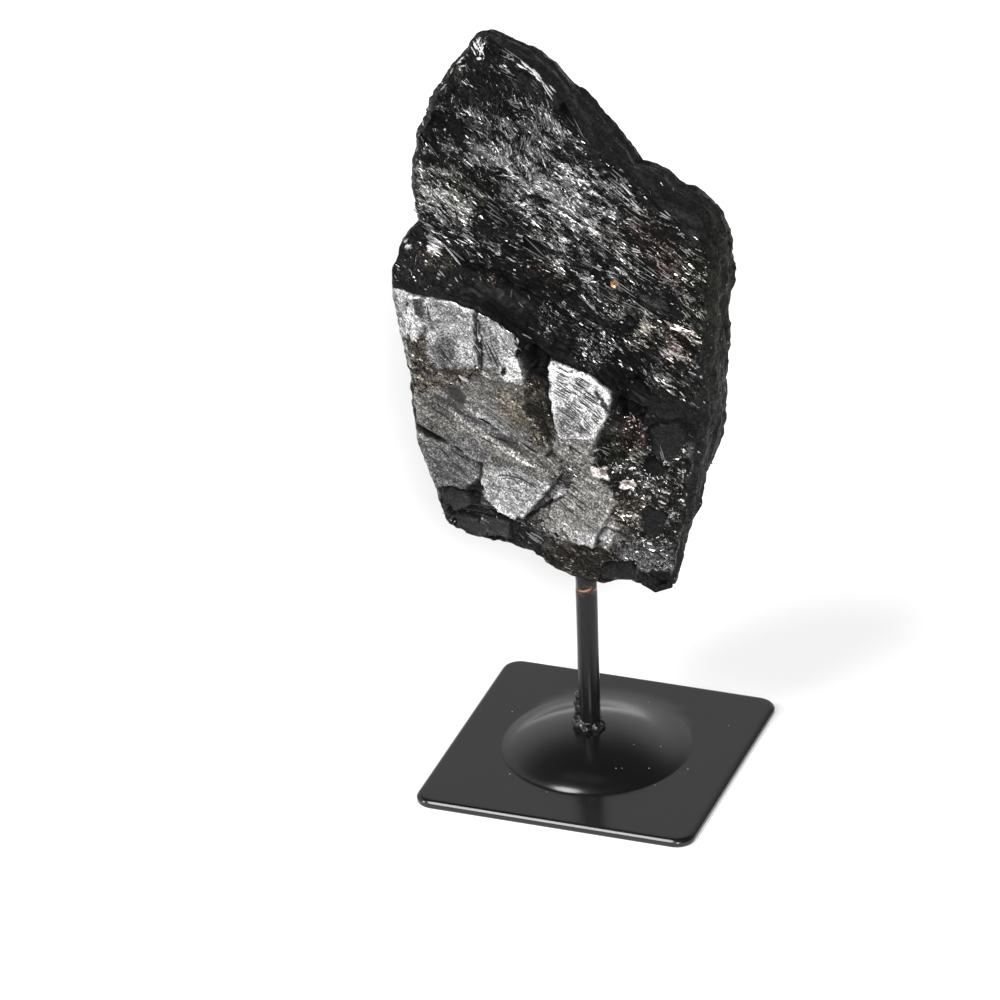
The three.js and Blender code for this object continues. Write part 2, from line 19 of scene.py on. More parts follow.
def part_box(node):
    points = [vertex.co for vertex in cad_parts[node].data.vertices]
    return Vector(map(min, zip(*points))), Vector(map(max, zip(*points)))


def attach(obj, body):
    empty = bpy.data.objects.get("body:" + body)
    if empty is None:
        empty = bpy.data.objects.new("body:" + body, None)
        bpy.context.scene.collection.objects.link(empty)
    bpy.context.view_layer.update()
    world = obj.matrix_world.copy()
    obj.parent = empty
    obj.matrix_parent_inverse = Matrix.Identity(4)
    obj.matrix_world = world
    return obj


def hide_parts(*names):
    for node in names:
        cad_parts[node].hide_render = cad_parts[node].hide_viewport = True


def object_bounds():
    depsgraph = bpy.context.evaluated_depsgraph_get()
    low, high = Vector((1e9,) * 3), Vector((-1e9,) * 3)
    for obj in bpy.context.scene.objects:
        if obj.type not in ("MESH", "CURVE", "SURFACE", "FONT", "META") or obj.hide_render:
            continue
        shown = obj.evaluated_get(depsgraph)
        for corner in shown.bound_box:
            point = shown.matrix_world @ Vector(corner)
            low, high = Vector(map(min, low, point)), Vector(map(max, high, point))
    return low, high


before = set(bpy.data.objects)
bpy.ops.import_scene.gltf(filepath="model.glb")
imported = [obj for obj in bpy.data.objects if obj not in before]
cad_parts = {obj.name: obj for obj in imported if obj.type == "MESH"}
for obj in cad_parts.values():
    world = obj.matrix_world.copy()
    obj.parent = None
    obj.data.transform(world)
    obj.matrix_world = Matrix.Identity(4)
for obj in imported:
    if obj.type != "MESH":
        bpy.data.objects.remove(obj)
CAD_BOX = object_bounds()

Array = NDArray[np.float64]
Colour = tuple[float, float, float]
Line = Sequence[Sequence[float]]

LOG = logging.getLogger("tourmaline")
BODY = "root"
MM = 0.001


# ---------------------------------------------------------------- small tools for shapes


def chance(i: Array, j: Array, channel: int) -> Array:
    """A repeatable number from 0 to 1 for each pair of whole numbers.

    It is the fractional part of 43758.5453 times the sine of 127.1 i + 311.7 j + 74.7 channel.

    Args:
        i: first whole numbers.
        j: second whole numbers.
        channel: picks another set of numbers for the same pairs.

    Returns:
        One number for each pair.
    """
    wave = np.sin(i * 127.1 + j * 311.7 + channel * 74.7) * 43758.5453
    return wave - np.floor(wave)


def smoothstep(low: float, high: float, value: Array) -> Array:
    """Goes smoothly from 0 at low to 1 at high, as 3 t^2 - 2 t^3; high may be the smaller one.

    Args:
        low: value where the step starts.
        high: value where it ends.
        value: the values to step.

    Returns:
        Shares from 0 to 1.
    """
    t = np.clip((value - low) / (high - low), 0.0, 1.0)
    return t * t * (3.0 - 2.0 * t)


def waves(x: Array, z: Array, size: float, channel: int) -> Array:
    """Smooth unevenness from 0 to 1: chance at the corners of a net, eased between them.

    Args:
        x: first coordinate.
        z: second coordinate.
        size: width of a cell of the net.
        channel: picks another pattern.

    Returns:
        One number for each point.
    """
    i, j = np.floor(x / size), np.floor(z / size)
    u, v = smoothstep(0.0, 1.0, x / size - i), smoothstep(0.0, 1.0, z / size - j)
    low = chance(i, j, channel) * (1.0 - u) + chance(i + 1.0, j, channel) * u
    high = chance(i, j + 1.0, channel) * (1.0 - u) + chance(i + 1.0, j + 1.0, channel) * u
    return low * (1.0 - v) + high * v


def shingles(s: Array, t: Array, cell_length: float, cell_width: float) -> Array:
    """Shingled ridges, from about 0 to 1.

    Every cell of an uneven net holds one long roof with a gentle side and a steep side. Its height
    falls by 0.55 or 1.6 a cell across it, and by 1.2 a cell past its ends. The highest roof shows.

    Args:
        s: distance along the ridges.
        t: distance across them.
        cell_length: length of a cell of the net.
        cell_width: width of a cell.

    Returns:
        Height at each point.
    """
    gentle, sudden, ending, level = 0.55, 1.6, 1.2, 0.35
    i0, j0 = np.floor(s / cell_length), np.floor(t / cell_width)
    height = np.zeros(np.broadcast(s, t).shape)
    for step_i in (-1.0, 0.0, 1.0):
        for step_j in (-1.0, 0.0, 1.0):
            i, j = i0 + step_i, j0 + step_j
            along = np.abs(s / cell_length - i - 0.15 - 0.7 * chance(i, j, 1))
            across = t / cell_width - j - 0.15 - 0.7 * chance(i, j, 2)
            fall = np.where(across > 0.0, gentle * across, -sudden * across)
            roof = 0.55 + 0.45 * chance(i, j, 3) - fall - np.maximum(0.0, ending * along - level)
            height = np.maximum(height, roof)
    return height


def wander(x: Array, z: Array, sets: Sequence[tuple[float, float, int]]) -> Array:
    """Unevenness about 0: the sum of sets of waves, each less a half and times its amount.

    Args:
        x: first coordinate.
        z: second coordinate.
        sets: amount, cell size and channel of each set.

    Returns:
        One number for each point.
    """
    return sum(amount * (waves(x, z, size, channel) - 0.5) for amount, size, channel in sets)


def ridged(s: Array, t: Array, sets: Sequence[tuple[float, float, float]]) -> Array:
    """Ridges about 0: the sum of sets of shingles, each less a half and times its height.

    Args:
        s: distance along the ridges.
        t: distance across them.
        sets: height, cell length and cell width of each set.

    Returns:
        Height at each point.
    """
    return sum(height * (shingles(s, t, length, width) - 0.5) for height, length, width in sets)


def turned(x: Array, z: Array, degrees: float) -> tuple[Array, Array]:
    """Distances along and across a direction that is turned from +X towards +Z.

    Args:
        x: first coordinate.
        z: second coordinate.
        degrees: the direction's turn.

    Returns:
        The distance along it and the distance across it.
    """
    cosine, sine = np.cos(np.radians(degrees)), np.sin(np.radians(degrees))
    return x * cosine + z * sine, z * cosine - x * sine


def running_length(line: Array) -> Array:
    """Length along a line of points, from 0 at the first one."""
    steps = np.linalg.norm(np.diff(line, axis=0), axis=1)
    return np.concatenate([[0.0], np.cumsum(steps)])


def points_at(corners: Line, shares: Array) -> Array:
    """Points of a line of corners, straight between them, at the given shares of its length.

    Args:
        corners: the line's corners.
        shares: numbers from 0 to 1.

    Returns:
        One point a row.
    """
    line = np.asarray(corners, float)
    lengths = running_length(line)
    return np.stack([np.interp(shares * lengths[-1], lengths, column) for column in line.T], axis=1)


def stretch_sheet(bottom: Array, top: Array, left: Array, right: Array) -> Array:
    """A sheet stretched between four lines of points.

    A point is the mix of bottom and top by v, plus the mix of left and right by u, less the mix of
    the four corners by both.

    Args:
        bottom: line from left to right.
        top: line from left to right, of as many points.
        left: line from bottom to top.
        right: line from bottom to top, of as many points.

    Returns:
        Rows from bottom to top, each from left to right.
    """
    u = np.linspace(0.0, 1.0, len(bottom))[None, :, None]
    v = np.linspace(0.0, 1.0, len(left))[:, None, None]
    up = bottom[None] * (1.0 - v) + top[None] * v
    across = left[:, None] * (1.0 - u) + right[:, None] * u
    low = bottom[0] * (1.0 - u) + bottom[-1] * u
    high = top[0] * (1.0 - u) + top[-1] * u
    return up + across - low * (1.0 - v) - high * v


def grid_quads(index: NDArray[np.int64]) -> NDArray[np.int64]:
    """The quads of a grid of point numbers, with columns, rows and outside turning rightwards.

    Args:
        index: point numbers in rows and columns.

    Returns:
        Four point numbers a row.
    """
    corners = (index[:-1, :-1], index[:-1, 1:], index[1:, 1:], index[1:, :-1])
    return np.stack([corner.ravel() for corner in corners], axis=1)


def closed_grid(rows: int, columns: int, loop_rows: bool) -> NDArray[np.int64]:
    """Point numbers of a grid whose columns close on themselves, and whose rows may do so too.

    Args:
        rows: number of rows of points.
        columns: number of points in a row.
        loop_rows: whether the last row joins the first.

    Returns:
        The numbers, with the first column repeated at the end, and the first row too if it joins.
    """
    index = np.arange(rows * columns).reshape(rows, columns)
    index = np.concatenate([index, index[:, :1]], axis=1)
    return np.concatenate([index, index[:1]], axis=0) if loop_rows else index


@dataclass
class Surface:
    """A mesh on its way: points in millimetres from the plate's middle, faces and values on points."""

    name: str
    points: Array
    quads: NDArray[np.int64]
    triangles: NDArray[np.int64] | None = None
    flat: NDArray[np.bool_] | None = None
    numbers: dict[str, Array] = field(default_factory=dict)
    colours: dict[str, Array] = field(default_factory=dict)

    def make(self, middle: Vector) -> bpy.types.Object:
        """Makes the object, in metres in the part's frame, kept inside the part's own box.

        Args:
            middle: the middle of the plate's underside in that frame.

        Returns:
            The object, linked into the scene, with its place in its mesh.
        """
        low, high = np.array(CAD_BOX[0]), np.array(CAD_BOX[1])
        points = np.clip(self.points * MM + np.array(middle), low, high)
        faces = self.quads.tolist()
        if self.triangles is not None:
            faces += self.triangles.tolist()
        mesh = bpy.data.meshes.new(self.name)
        mesh.from_pydata(points.tolist(), [], faces)
        smooth = np.ones(len(faces), bool) if self.flat is None else ~self.flat
        mesh.polygons.foreach_set("use_smooth", smooth)
        for name, values in self.numbers.items():
            mesh.attributes.new(name, "FLOAT", "POINT").data.foreach_set("value", values.astype(np.float32))
        for name, values in self.colours.items():
            rgba = np.concatenate([values, np.ones((len(values), 1))], axis=1)
            attribute = mesh.attributes.new(name, "FLOAT_COLOR", "POINT")
            attribute.data.foreach_set("color", rgba.astype(np.float32).ravel())
        mesh.update()
        thing = bpy.data.objects.new(self.name, mesh)
        bpy.context.scene.collection.objects.link(thing)
        return thing


# ---------------------------------------------------------------- small tools for materials


class Wire:
    """A socket's value, on which sums can be written as on a number."""

    def __init__(self, board: "Board", socket: bpy.types.NodeSocket) -> None:
        """Keeps the board that the socket is on."""
        self.board = board
        self.socket = socket

    def __add__(self, other: "Wire | float") -> "Wire":
        """Sum."""
        return self.board.math("ADD", self, other)

    def __radd__(self, other: float) -> "Wire":
        """Sum, with the number first."""
        return self.board.math("ADD", other, self)

    def __sub__(self, other: "Wire | float") -> "Wire":
        """Difference."""
        return self.board.math("SUBTRACT", self, other)

    def __rsub__(self, other: float) -> "Wire":
        """Difference, with the number first."""
        return self.board.math("SUBTRACT", other, self)

    def __mul__(self, other: "Wire | float") -> "Wire":
        """Product."""
        return self.board.math("MULTIPLY", self, other)

    def __rmul__(self, other: float) -> "Wire":
        """Product, with the number first."""
        return self.board.math("MULTIPLY", other, self)

    def __rpow__(self, other: float) -> "Wire":
        """A number to the power of the value."""
        return self.board.math("POWER", other, self)

    def __abs__(self) -> "Wire":
        """Size without sign."""
        return self.board.math("ABSOLUTE", self)

    def least(self, other: "Wire | float") -> "Wire":
        """The smaller of the two."""
        return self.board.math("MINIMUM", self, other)

    def share(self) -> "Wire":
        """The value, kept from 0 to 1."""
        return self.board.math("MAXIMUM", self.least(1.0), 0.0)

    def step(self, low: "Wire | float", high: "Wire | float") -> "Wire":
        """A smooth step from 0 at low to 1 at high."""
        sockets = {0: self, 1: low, 2: high, 3: 0.0, 4: 1.0}
        return self.board.wire("ShaderNodeMapRange", {"interpolation_type": "SMOOTHSTEP"}, sockets)


Value = Wire | float | Sequence[float]


class Board:
    """A node tree, with one short way to add any node to it."""

    def __init__(self, tree: bpy.types.NodeTree) -> None:
        """Clears the tree."""
        self.tree = tree
        tree.nodes.clear()

    def add(
        self,
        kind: str,
        settings: Mapping[str, object] | None = None,
        sockets: Mapping[int | str, Value] | None = None,
    ) -> bpy.types.Node:
        """Adds a node, sets it up and feeds its sockets.

        Args:
            kind: the node's type.
            settings: its own settings, set first; stops gives a ramp's places and colours.
            sockets: values or wires for its inputs.

        Returns:
            The node.
        """
        node = self.tree.nodes.new(kind)
        for name, value in (settings or {}).items():
            if name == "stops":
                self._set_stops(node, value)
            else:
                setattr(node, name, value)
        for key, value in (sockets or {}).items():
            if isinstance(value, Wire):
                self.tree.links.new(value.socket, node.inputs[key])
            else:
                node.inputs[key].default_value = value
        return node

    @staticmethod
    def _set_stops(node: bpy.types.Node, stops: Sequence[tuple[float, Colour]]) -> None:
        """Gives a ramp its stops.

        Args:
            node: the ramp.
            stops: a place from 0 to 1 and a colour for each stop.
        """
        elements = node.color_ramp.elements
        while len(elements) < len(stops):
            elements.new(1.0)
        for element, (place, colour) in zip(elements, stops):
            element.position = place
            element.color = (*colour, 1.0)

    def wire(
        self,
        kind: str,
        settings: Mapping[str, object] | None = None,
        sockets: Mapping[int | str, Value] | None = None,
        output: int | str = 0,
    ) -> Wire:
        """Adds a node, as add does, and gives one of its outputs."""
        return Wire(self, self.add(kind, settings, sockets).outputs[output])

    def math(self, operation: str, *values: Value) -> Wire:
        """The result of one Math node."""
        return self.wire("ShaderNodeMath", {"operation": operation}, dict(enumerate(values)))

    def vector(self, operation: str, *values: Value) -> Wire:
        """The result of one Vector Math node."""
        return self.wire("ShaderNodeVectorMath", {"operation": operation}, dict(enumerate(values)))

    def scaled(self, vector: Value, share: Value) -> Wire:
        """A vector times a number."""
        return self.wire("ShaderNodeVectorMath", {"operation": "SCALE"}, {0: vector, "Scale": share})

    def blend(self, share: Value, first: Colour, second: Colour) -> Wire:
        """A mix of two colours, with so much of the second one."""
        sockets = {0: share, 6: (*first, 1.0), 7: (*second, 1.0)}
        return self.wire("ShaderNodeMix", {"data_type": "RGBA"}, sockets, 2)

    def place(self, vector: Wire, scale: Sequence[float], turn: float = 0.0) -> Wire:
        """Coordinates scaled, then turned round Y by an angle in degrees."""
        sockets = {"Vector": vector, "Scale": scale, "Rotation": (0.0, np.radians(turn), 0.0)}
        return self.wire("ShaderNodeMapping", None, sockets)

    def millimetres(self) -> Wire:
        """The object's own coordinates in millimetres."""
        return self.place(self.wire("ShaderNodeTexCoord", output="Object"), (1.0 / MM,) * 3)

    def noise(self, vector: Wire, scale: float, detail: float = 2.0, roughness: float = 0.5) -> Wire:
        """Uneven clouds around 0.5."""
        sockets = {"Vector": vector, "Scale": scale, "Detail": detail, "Roughness": roughness}
        return self.wire("ShaderNodeTexNoise", None, sockets, "Fac")

    def cells(self, vector: Wire, scale: float, output: str = "Color") -> Wire:
        """Uneven cells: a random colour in each, or the distance from its middle."""
        sockets = {"Vector": vector, "Scale": scale}
        return self.wire("ShaderNodeTexVoronoi", {"feature": "F1"}, sockets, output)

    def channel(self, colour: Wire, number: int) -> Wire:
        """One channel of a colour."""
        return self.wire("ShaderNodeSeparateColor", None, {0: colour}, number)

    def attribute(self, name: str, output: str = "Fac") -> Wire:
        """A value that the mesh holds at its points."""
        return self.wire("ShaderNodeAttribute", {"attribute_name": name}, None, output)

    def bump(self, height: Wire, strength: float, depth: float, normal: Wire | None = None) -> Wire:
        """A normal that is tilted by a relief.

        Args:
            height: the relief's height, from 0 to 1.
            strength: share of the tilt that is used.
            depth: what a height of 1 stands for, in millimetres.
            normal: the normal to tilt, or the mesh's own.

        Returns:
            The normal.
        """
        sockets: dict[int | str, Value] = {"Height": height, "Strength": strength, "Distance": depth * MM}
        if normal is not None:
            sockets["Normal"] = normal
        return self.wire("ShaderNodeBump", None, sockets)

    def finish(self, sockets: Mapping[int | str, Value]) -> None:
        """Ends a material with one shader that has these sockets."""
        shader = self.wire("ShaderNodeBsdfPrincipled", None, sockets)
        self.add("ShaderNodeOutputMaterial", None, {"Surface": shader})


class Finish:
    """A finish, which has a name and lays its nodes on a material's board."""

    name: str

    def lay(self, board: Board) -> None:
        """Lays the finish's nodes on the board."""
        raise NotImplementedError

    def make(self) -> bpy.types.Material:
        """Makes a material with this finish.

        Returns:
            The material.
        """
        material = bpy.data.materials.new(self.name)
        material.use_nodes = True
        self.lay(Board(material.node_tree))
        return material


# ---------------------------------------------------------------- finishes


@dataclass(frozen=True)
class SchorlFinish(Finish):
    """Black tourmaline: a black ground, silvery cleavage faces of uneven grain, and small glints.

    The mesh gives silver, the middle reflectance of a face, glitter, the share of bright grains,
    shine, the reflectance of a single blade, polish, how smooth a face is, steep, where grain runs
    steeply, and tint. Two turns, in degrees from +X towards +Z, are those of plain and of steep grain.
    """

    along: float
    steep: float
    name: str = "schorl"
    ground: Colour = (0.0022, 0.0021, 0.0021)
    spread: float = 4.4
    brightest: float = 0.86
    chip_share: float = 0.26
    grain_share: float = 0.60
    streak_share: float = 0.58
    steep_share: float = 0.70
    band_share: float = 0.60
    glint_strength: float = 0.7
    metal: float = 0.96
    roughness: float = 0.28
    gloss: float = 0.03
    relief_strength: float = 0.45
    relief_depth: float = 0.20

    def streaks(self, board: Board, millimetres: Wire, turn: float, size: float) -> Wire:
        """Uneven streaks that run along a turn in x and z, about 0.5 in the middle.

        Args:
            board: the material's board.
            millimetres: coordinates in millimetres.
            turn: turn of the streaks in degrees.
            size: width of a streak in millimetres.

        Returns:
            The streaks.
        """
        along = board.place(millimetres, (1.0, 1.0, 1.0), turn)
        return board.noise(board.place(along, (0.16 / size, 1.0 / size, 1.0 / size)), 1.0, 3.0, 0.6)

    def lay(self, board: Board) -> None:
        """Lays the nodes.

        A face's reflectance is its silver times two to the power of spread times the sum of grain
        and streaks, so that it is as often half as twice its middle value.

        Args:
            board: the material's board.
        """
        silver, glitter = board.attribute("silver"), board.attribute("glitter")
        shine, steep = board.attribute("shine"), board.attribute("steep")
        rough = 1.0 - 0.85 * board.attribute("polish")
        tint = board.attribute("tint", "Color")
        millimetres = board.millimetres()
        along = board.place(millimetres, (1.0, 1.0, 1.0), self.along)
        low_streaks = self.streaks(board, millimetres, self.along, 0.50)
        steep_streaks = self.streaks(board, millimetres, self.steep, 0.42)
        streaks = low_streaks + steep * (steep_streaks - low_streaks)
        bands = board.noise(board.place(along, (0.055, 0.30, 0.30)), 1.0, 2.0)
        chips = board.cells(board.place(along, (0.6, 1.15, 1.15)), 1.5)
        grains = board.cells(millimetres, 2.7)
        chip, grain = board.channel(chips, 0), board.channel(grains, 1)

        uneven = self.chip_share * (chip - 0.5) + self.grain_share * (grain - 0.5)
        uneven = uneven + (self.streak_share + self.steep_share * steep) * (streaks - 0.5)
        uneven = uneven + self.band_share * (bands - 0.5)
        face = silver * 2.0 ** (self.spread * (0.4 + 0.6 * rough) * uneven)
        glint = chip.step(1.0 - 0.20 * glitter, 1.0) * (0.1 + 0.9 * grain)
        glint = glint * glitter * rough * self.glint_strength
        bright = (face + glint + shine).least(self.brightest)
        base = board.vector("ADD", board.scaled(tint, bright), self.ground)

        normal = board.wire("ShaderNodeNewGeometry", output="Normal")
        grey = (0.5, 0.5, 0.5)
        tilt = board.scaled(board.vector("SUBTRACT", chips, grey), (0.08 + 0.50 * glitter) * rough)
        fine = board.scaled(board.vector("SUBTRACT", grains, grey), 0.24 * rough)
        leaning = board.vector("ADD", board.vector("ADD", normal, tilt), fine)
        leaning = board.vector("NORMALIZE", leaning)
        height = (streaks + 0.3 * grain) * rough
        board.finish({
            "Base Color": base,
            "Metallic": bright.step(0.004, 0.05) * self.metal,
            "Roughness": self.roughness + 0.24 * rough - 0.12 * bright.step(0.05, 0.5),
            "Specular IOR Level": self.gloss,
            "Normal": board.bump(height, self.relief_strength, self.relief_depth, leaning),
        })


@dataclass(frozen=True)
class PaintFinish(Finish):
    """Satin black paint with a fine skin and, here and there, a speck of dust."""

    name: str = "plate_paint"
    colour: Colour = (0.0042, 0.0042, 0.0044)
    dusty: Colour = (0.42, 0.42, 0.42)
    roughness: float = 0.20
    gloss: float = 0.5
    specks: float = 0.25
    speck_spacing: float = 0.16

    def lay(self, board: Board) -> None:
        """Lays the nodes: a speck is the middle of a cell, in about a quarter of the cells.

        Args:
            board: the material's board.
        """
        millimetres = board.millimetres()
        skin = board.noise(millimetres, 1.9, 3.0)
        broad = board.noise(millimetres, 0.035, 2.0)
        dots = board.cells(millimetres, self.speck_spacing, "Distance")
        luck = board.channel(board.cells(millimetres, self.speck_spacing), 0)
        dust = dots.step(0.034, 0.022) * luck.step(0.72, 0.74) * self.specks
        board.finish({
            "Base Color": board.blend(dust, self.colour, self.dusty),
            "Roughness": self.roughness + 0.08 * (broad - 0.5) + 0.05 * (skin - 0.5) + 0.4 * dust,
            "Specular IOR Level": self.gloss,
            "Normal": board.bump(skin + dust * 3.0, 0.10, 0.05),
        })


@dataclass(frozen=True)
class BarFinish(Finish):
    """Black paint on a round bar, with drawn lines along it and one scratched ring of copper."""

    name: str = "post_paint"
    ring_height: float = 54.0
    colour: Colour = (0.0040, 0.0040, 0.0043)
    copper: Colour = (0.36, 0.18, 0.11)
    wobbling: float = 2.2
    roughness: float = 0.25
    gloss: float = 0.26

    def lay(self, board: Board) -> None:
        """Lays the nodes: the ring is a band of height that wobbles round the bar.

        Args:
            board: the material's board.
        """
        millimetres = board.millimetres()
        height = board.wire("ShaderNodeSeparateXYZ", None, {0: millimetres}, 2)
        drawn = board.noise(board.place(millimetres, (2.0, 2.0, 0.12)), 1.0, 3.0)
        blotch = board.noise(board.place(millimetres, (0.5, 0.5, 1.5)), 0.9, 4.0, 0.7)
        clouds = board.noise(board.place(millimetres, (0.30, 0.30, 0.05)), 1.0, 1.0)
        wobble = (clouds - 0.5) * self.wobbling
        off = abs(height - self.ring_height + wobble)
        thin = off.step(0.42, 0.16) * blotch.step(0.40, 0.50)
        stain = off.step(2.4, 0.6) * blotch.step(0.5, 0.7) * 0.25
        scratch = (thin + stain).share()
        board.finish({
            "Base Color": board.blend(scratch, self.colour, self.copper),
            "Metallic": thin * 0.75,
            "Roughness": self.roughness + 0.10 * (drawn - 0.5) + 0.10 * (blotch - 0.5),
            "Specular IOR Level": self.gloss,
            "Normal": board.bump(drawn + blotch * 0.6, 0.22, 0.12),
        })


@dataclass(frozen=True)
class DustFinish(Finish):
    """Pale grey dust, a little mottled."""

    name: str = "dust"
    pale: Colour = (0.34, 0.33, 0.32)
    dull: Colour = (0.18, 0.17, 0.17)

    def lay(self, board: Board) -> None:
        """Lays the nodes."""
        colour = board.blend(board.noise(board.millimetres(), 4.0), self.pale, self.dull)
        board.finish({"Base Color": colour, "Roughness": 0.9, "Specular IOR Level": 0.1})


@dataclass(frozen=True)
class WeldFinish(Finish):
    """Painted weld metal: glossy black over ripples, worn in places."""

    name: str = "weld"
    colour: Colour = (0.0035, 0.0035, 0.0037)
    bare: Colour = (0.03, 0.029, 0.028)
    roughness: float = 0.20
    gloss: float = 0.4

    def lay(self, board: Board) -> None:
        """Lays the nodes.

        Args:
            board: the material's board.
        """
        millimetres = board.millimetres()
        ripple = board.noise(board.place(millimetres, (0.8, 0.8, 1.6)), 1.1, 3.0, 0.6)
        worn = board.noise(millimetres, 0.8, 3.0).step(0.6, 0.75)
        board.finish({
            "Base Color": board.blend(worn, self.colour, self.bare),
            "Metallic": 0.5 * worn,
            "Roughness": self.roughness + 0.15 * (ripple - 0.5),
            "Specular IOR Level": self.gloss,
            "Normal": board.bump(ripple, 0.5, 0.5),
        })


@dataclass(frozen=True)
class FloorFinish(Finish):
    """Plain pale floor."""

    name: str = "pale_floor"
    colour: Colour = (0.86, 0.86, 0.86)

    def lay(self, board: Board) -> None:
        """Lays the nodes."""
        board.finish({"Base Color": (*self.colour, 1.0), "Roughness": 0.9, "Specular IOR Level": 0.1})


# ---------------------------------------------------------------- the stone


class Tint(Enum):
    """Colours that the stone's bright grains take on in places."""

    NONE = (1.0, 1.0, 1.0)
    WARM = (1.03, 1.0, 0.95)
    BROWN = (1.13, 1.0, 0.84)
    RED = (1.26, 0.94, 0.86)
    ROSE = (1.09, 0.97, 0.94)
    GOLD = (1.13, 1.03, 0.80)
    OLIVE = (1.02, 1.05, 0.85)
    ORANGE = (1.6, 0.88, 0.42)


@dataclass(frozen=True)
class Ring:
    """An outline of straight sides that bulges outwards everywhere; its corners run clockwise."""

    corners: Line

    def outside(self, x: Array, z: Array) -> Array:
        """How far points lie past the side that each is most outside of.

        Args:
            x: the points' x.
            z: the points' z.

        Returns:
            The distances, less than 0 inside.
        """
        start = np.asarray(self.corners, float)
        side = np.roll(start, -1, axis=0) - start
        length = np.hypot(side[:, 0], side[:, 1])
        across = side[:, 0] * (z[..., None] - start[:, 1]) - side[:, 1] * (x[..., None] - start[:, 0])
        return (across / length).max(axis=-1)

    def middle(self) -> tuple[float, float]:
        """The mean of the corners."""
        x, z = np.asarray(self.corners, float).mean(axis=0)
        return float(x), float(z)


@dataclass(frozen=True)
class Outline:
    """Any outline of straight sides, given as x and z of each corner."""

    corners: Line

    def outside(self, x: Array, z: Array) -> Array:
        """Distance to the outline.

        A point is inside if a line from it towards +X crosses the outline an odd number of times.

        Args:
            x: the points' x.
            z: the points' z.

        Returns:
            The distances, less than 0 inside.
        """
        start = np.asarray(self.corners, float)
        end = np.roll(start, -1, axis=0)
        side = end - start
        off_x, off_z = x[..., None] - start[:, 0], z[..., None] - start[:, 1]
        share = (off_x * side[:, 0] + off_z * side[:, 1]) / (side ** 2).sum(axis=1)
        share = np.clip(share, 0.0, 1.0)
        distance = np.hypot(off_x - share * side[:, 0], off_z - share * side[:, 1]).min(axis=-1)
        level = (start[:, 1] > z[..., None]) != (end[:, 1] > z[..., None])
        rise = np.where(side[:, 1] == 0.0, 1.0, side[:, 1])
        crossings = (level & (off_x < off_z * side[:, 0] / rise)).sum(axis=-1)
        return np.where(crossings % 2 == 1, -distance, distance)


@dataclass(frozen=True)
class Oval:
    """An oval: its middle, half length, half width, and turn in degrees from +X towards +Z."""

    x: float
    z: float
    long: float
    wide: float
    turn: float = 0.0

    def reach(self, x: Array, z: Array) -> Array:
        """Distance from the middle, where 1 is the oval's edge."""
        along, across = turned(x - self.x, z - self.z, self.turn)
        return np.hypot(along / self.long, across / self.wide)

    def outside(self, x: Array, z: Array) -> Array:
        """About how far outside the oval a point lies; less than 0 inside."""
        return (self.reach(x, z) - 1.0) * self.wide


@dataclass(frozen=True)
class Facet:
    """A flat face: its outline, the depth y at its middle, and its slope along x and z."""

    ring: Ring
    y: float
    slope: tuple[float, float]

    def depth(self, x: Array, z: Array) -> Array:
        """Depth y of the facet's plane."""
        middle_x, middle_z = self.ring.middle()
        return self.y + self.slope[0] * (x - middle_x) + self.slope[1] * (z - middle_z)


@dataclass(frozen=True)
class Slab:
    """A smooth dark face: its outline, how far it is sunk, its slope along x and z, and its silver."""

    ring: Ring
    sink: float
    slope: tuple[float, float]
    silver: float
    farthest: float = 1.5

    def plane(self, sheet: Array) -> Array | None:
        """Depth y of the slab's plane over a sheet, or nothing if the slab isn't on the sheet.

        The plane passes its sink behind the sheet's point that is nearest to the slab's middle.

        Args:
            sheet: points in rows and columns.

        Returns:
            The depth at each point.
        """
        middle_x, middle_z = self.ring.middle()
        off_x, off_z = sheet[..., 0] - middle_x, sheet[..., 2] - middle_z
        away = np.hypot(off_x, off_z)
        if away.min() > self.farthest:
            return None
        start = sheet[..., 1].ravel()[away.argmin()] + self.sink
        return start + self.slope[0] * off_x + self.slope[1] * off_z

    def mark(self) -> "Mark":
        """The slab's finish."""
        return Mark(self.ring, self.silver, 0.07, edge=0.5, polish=0.65, loose=0.5)


@dataclass(frozen=True)
class Mark:
    """A patch of finish: its silver and glitter, its tint, the softness of its edge in millimetres,
    how steeply its grain runs, its polish, and how much its border wanders."""

    shape: Ring | Outline | Oval
    silver: float
    glitter: float
    tint: Tint = Tint.NONE
    edge: float = 0.8
    steep: float = 0.0
    polish: float = 0.0
    loose: float = 1.0


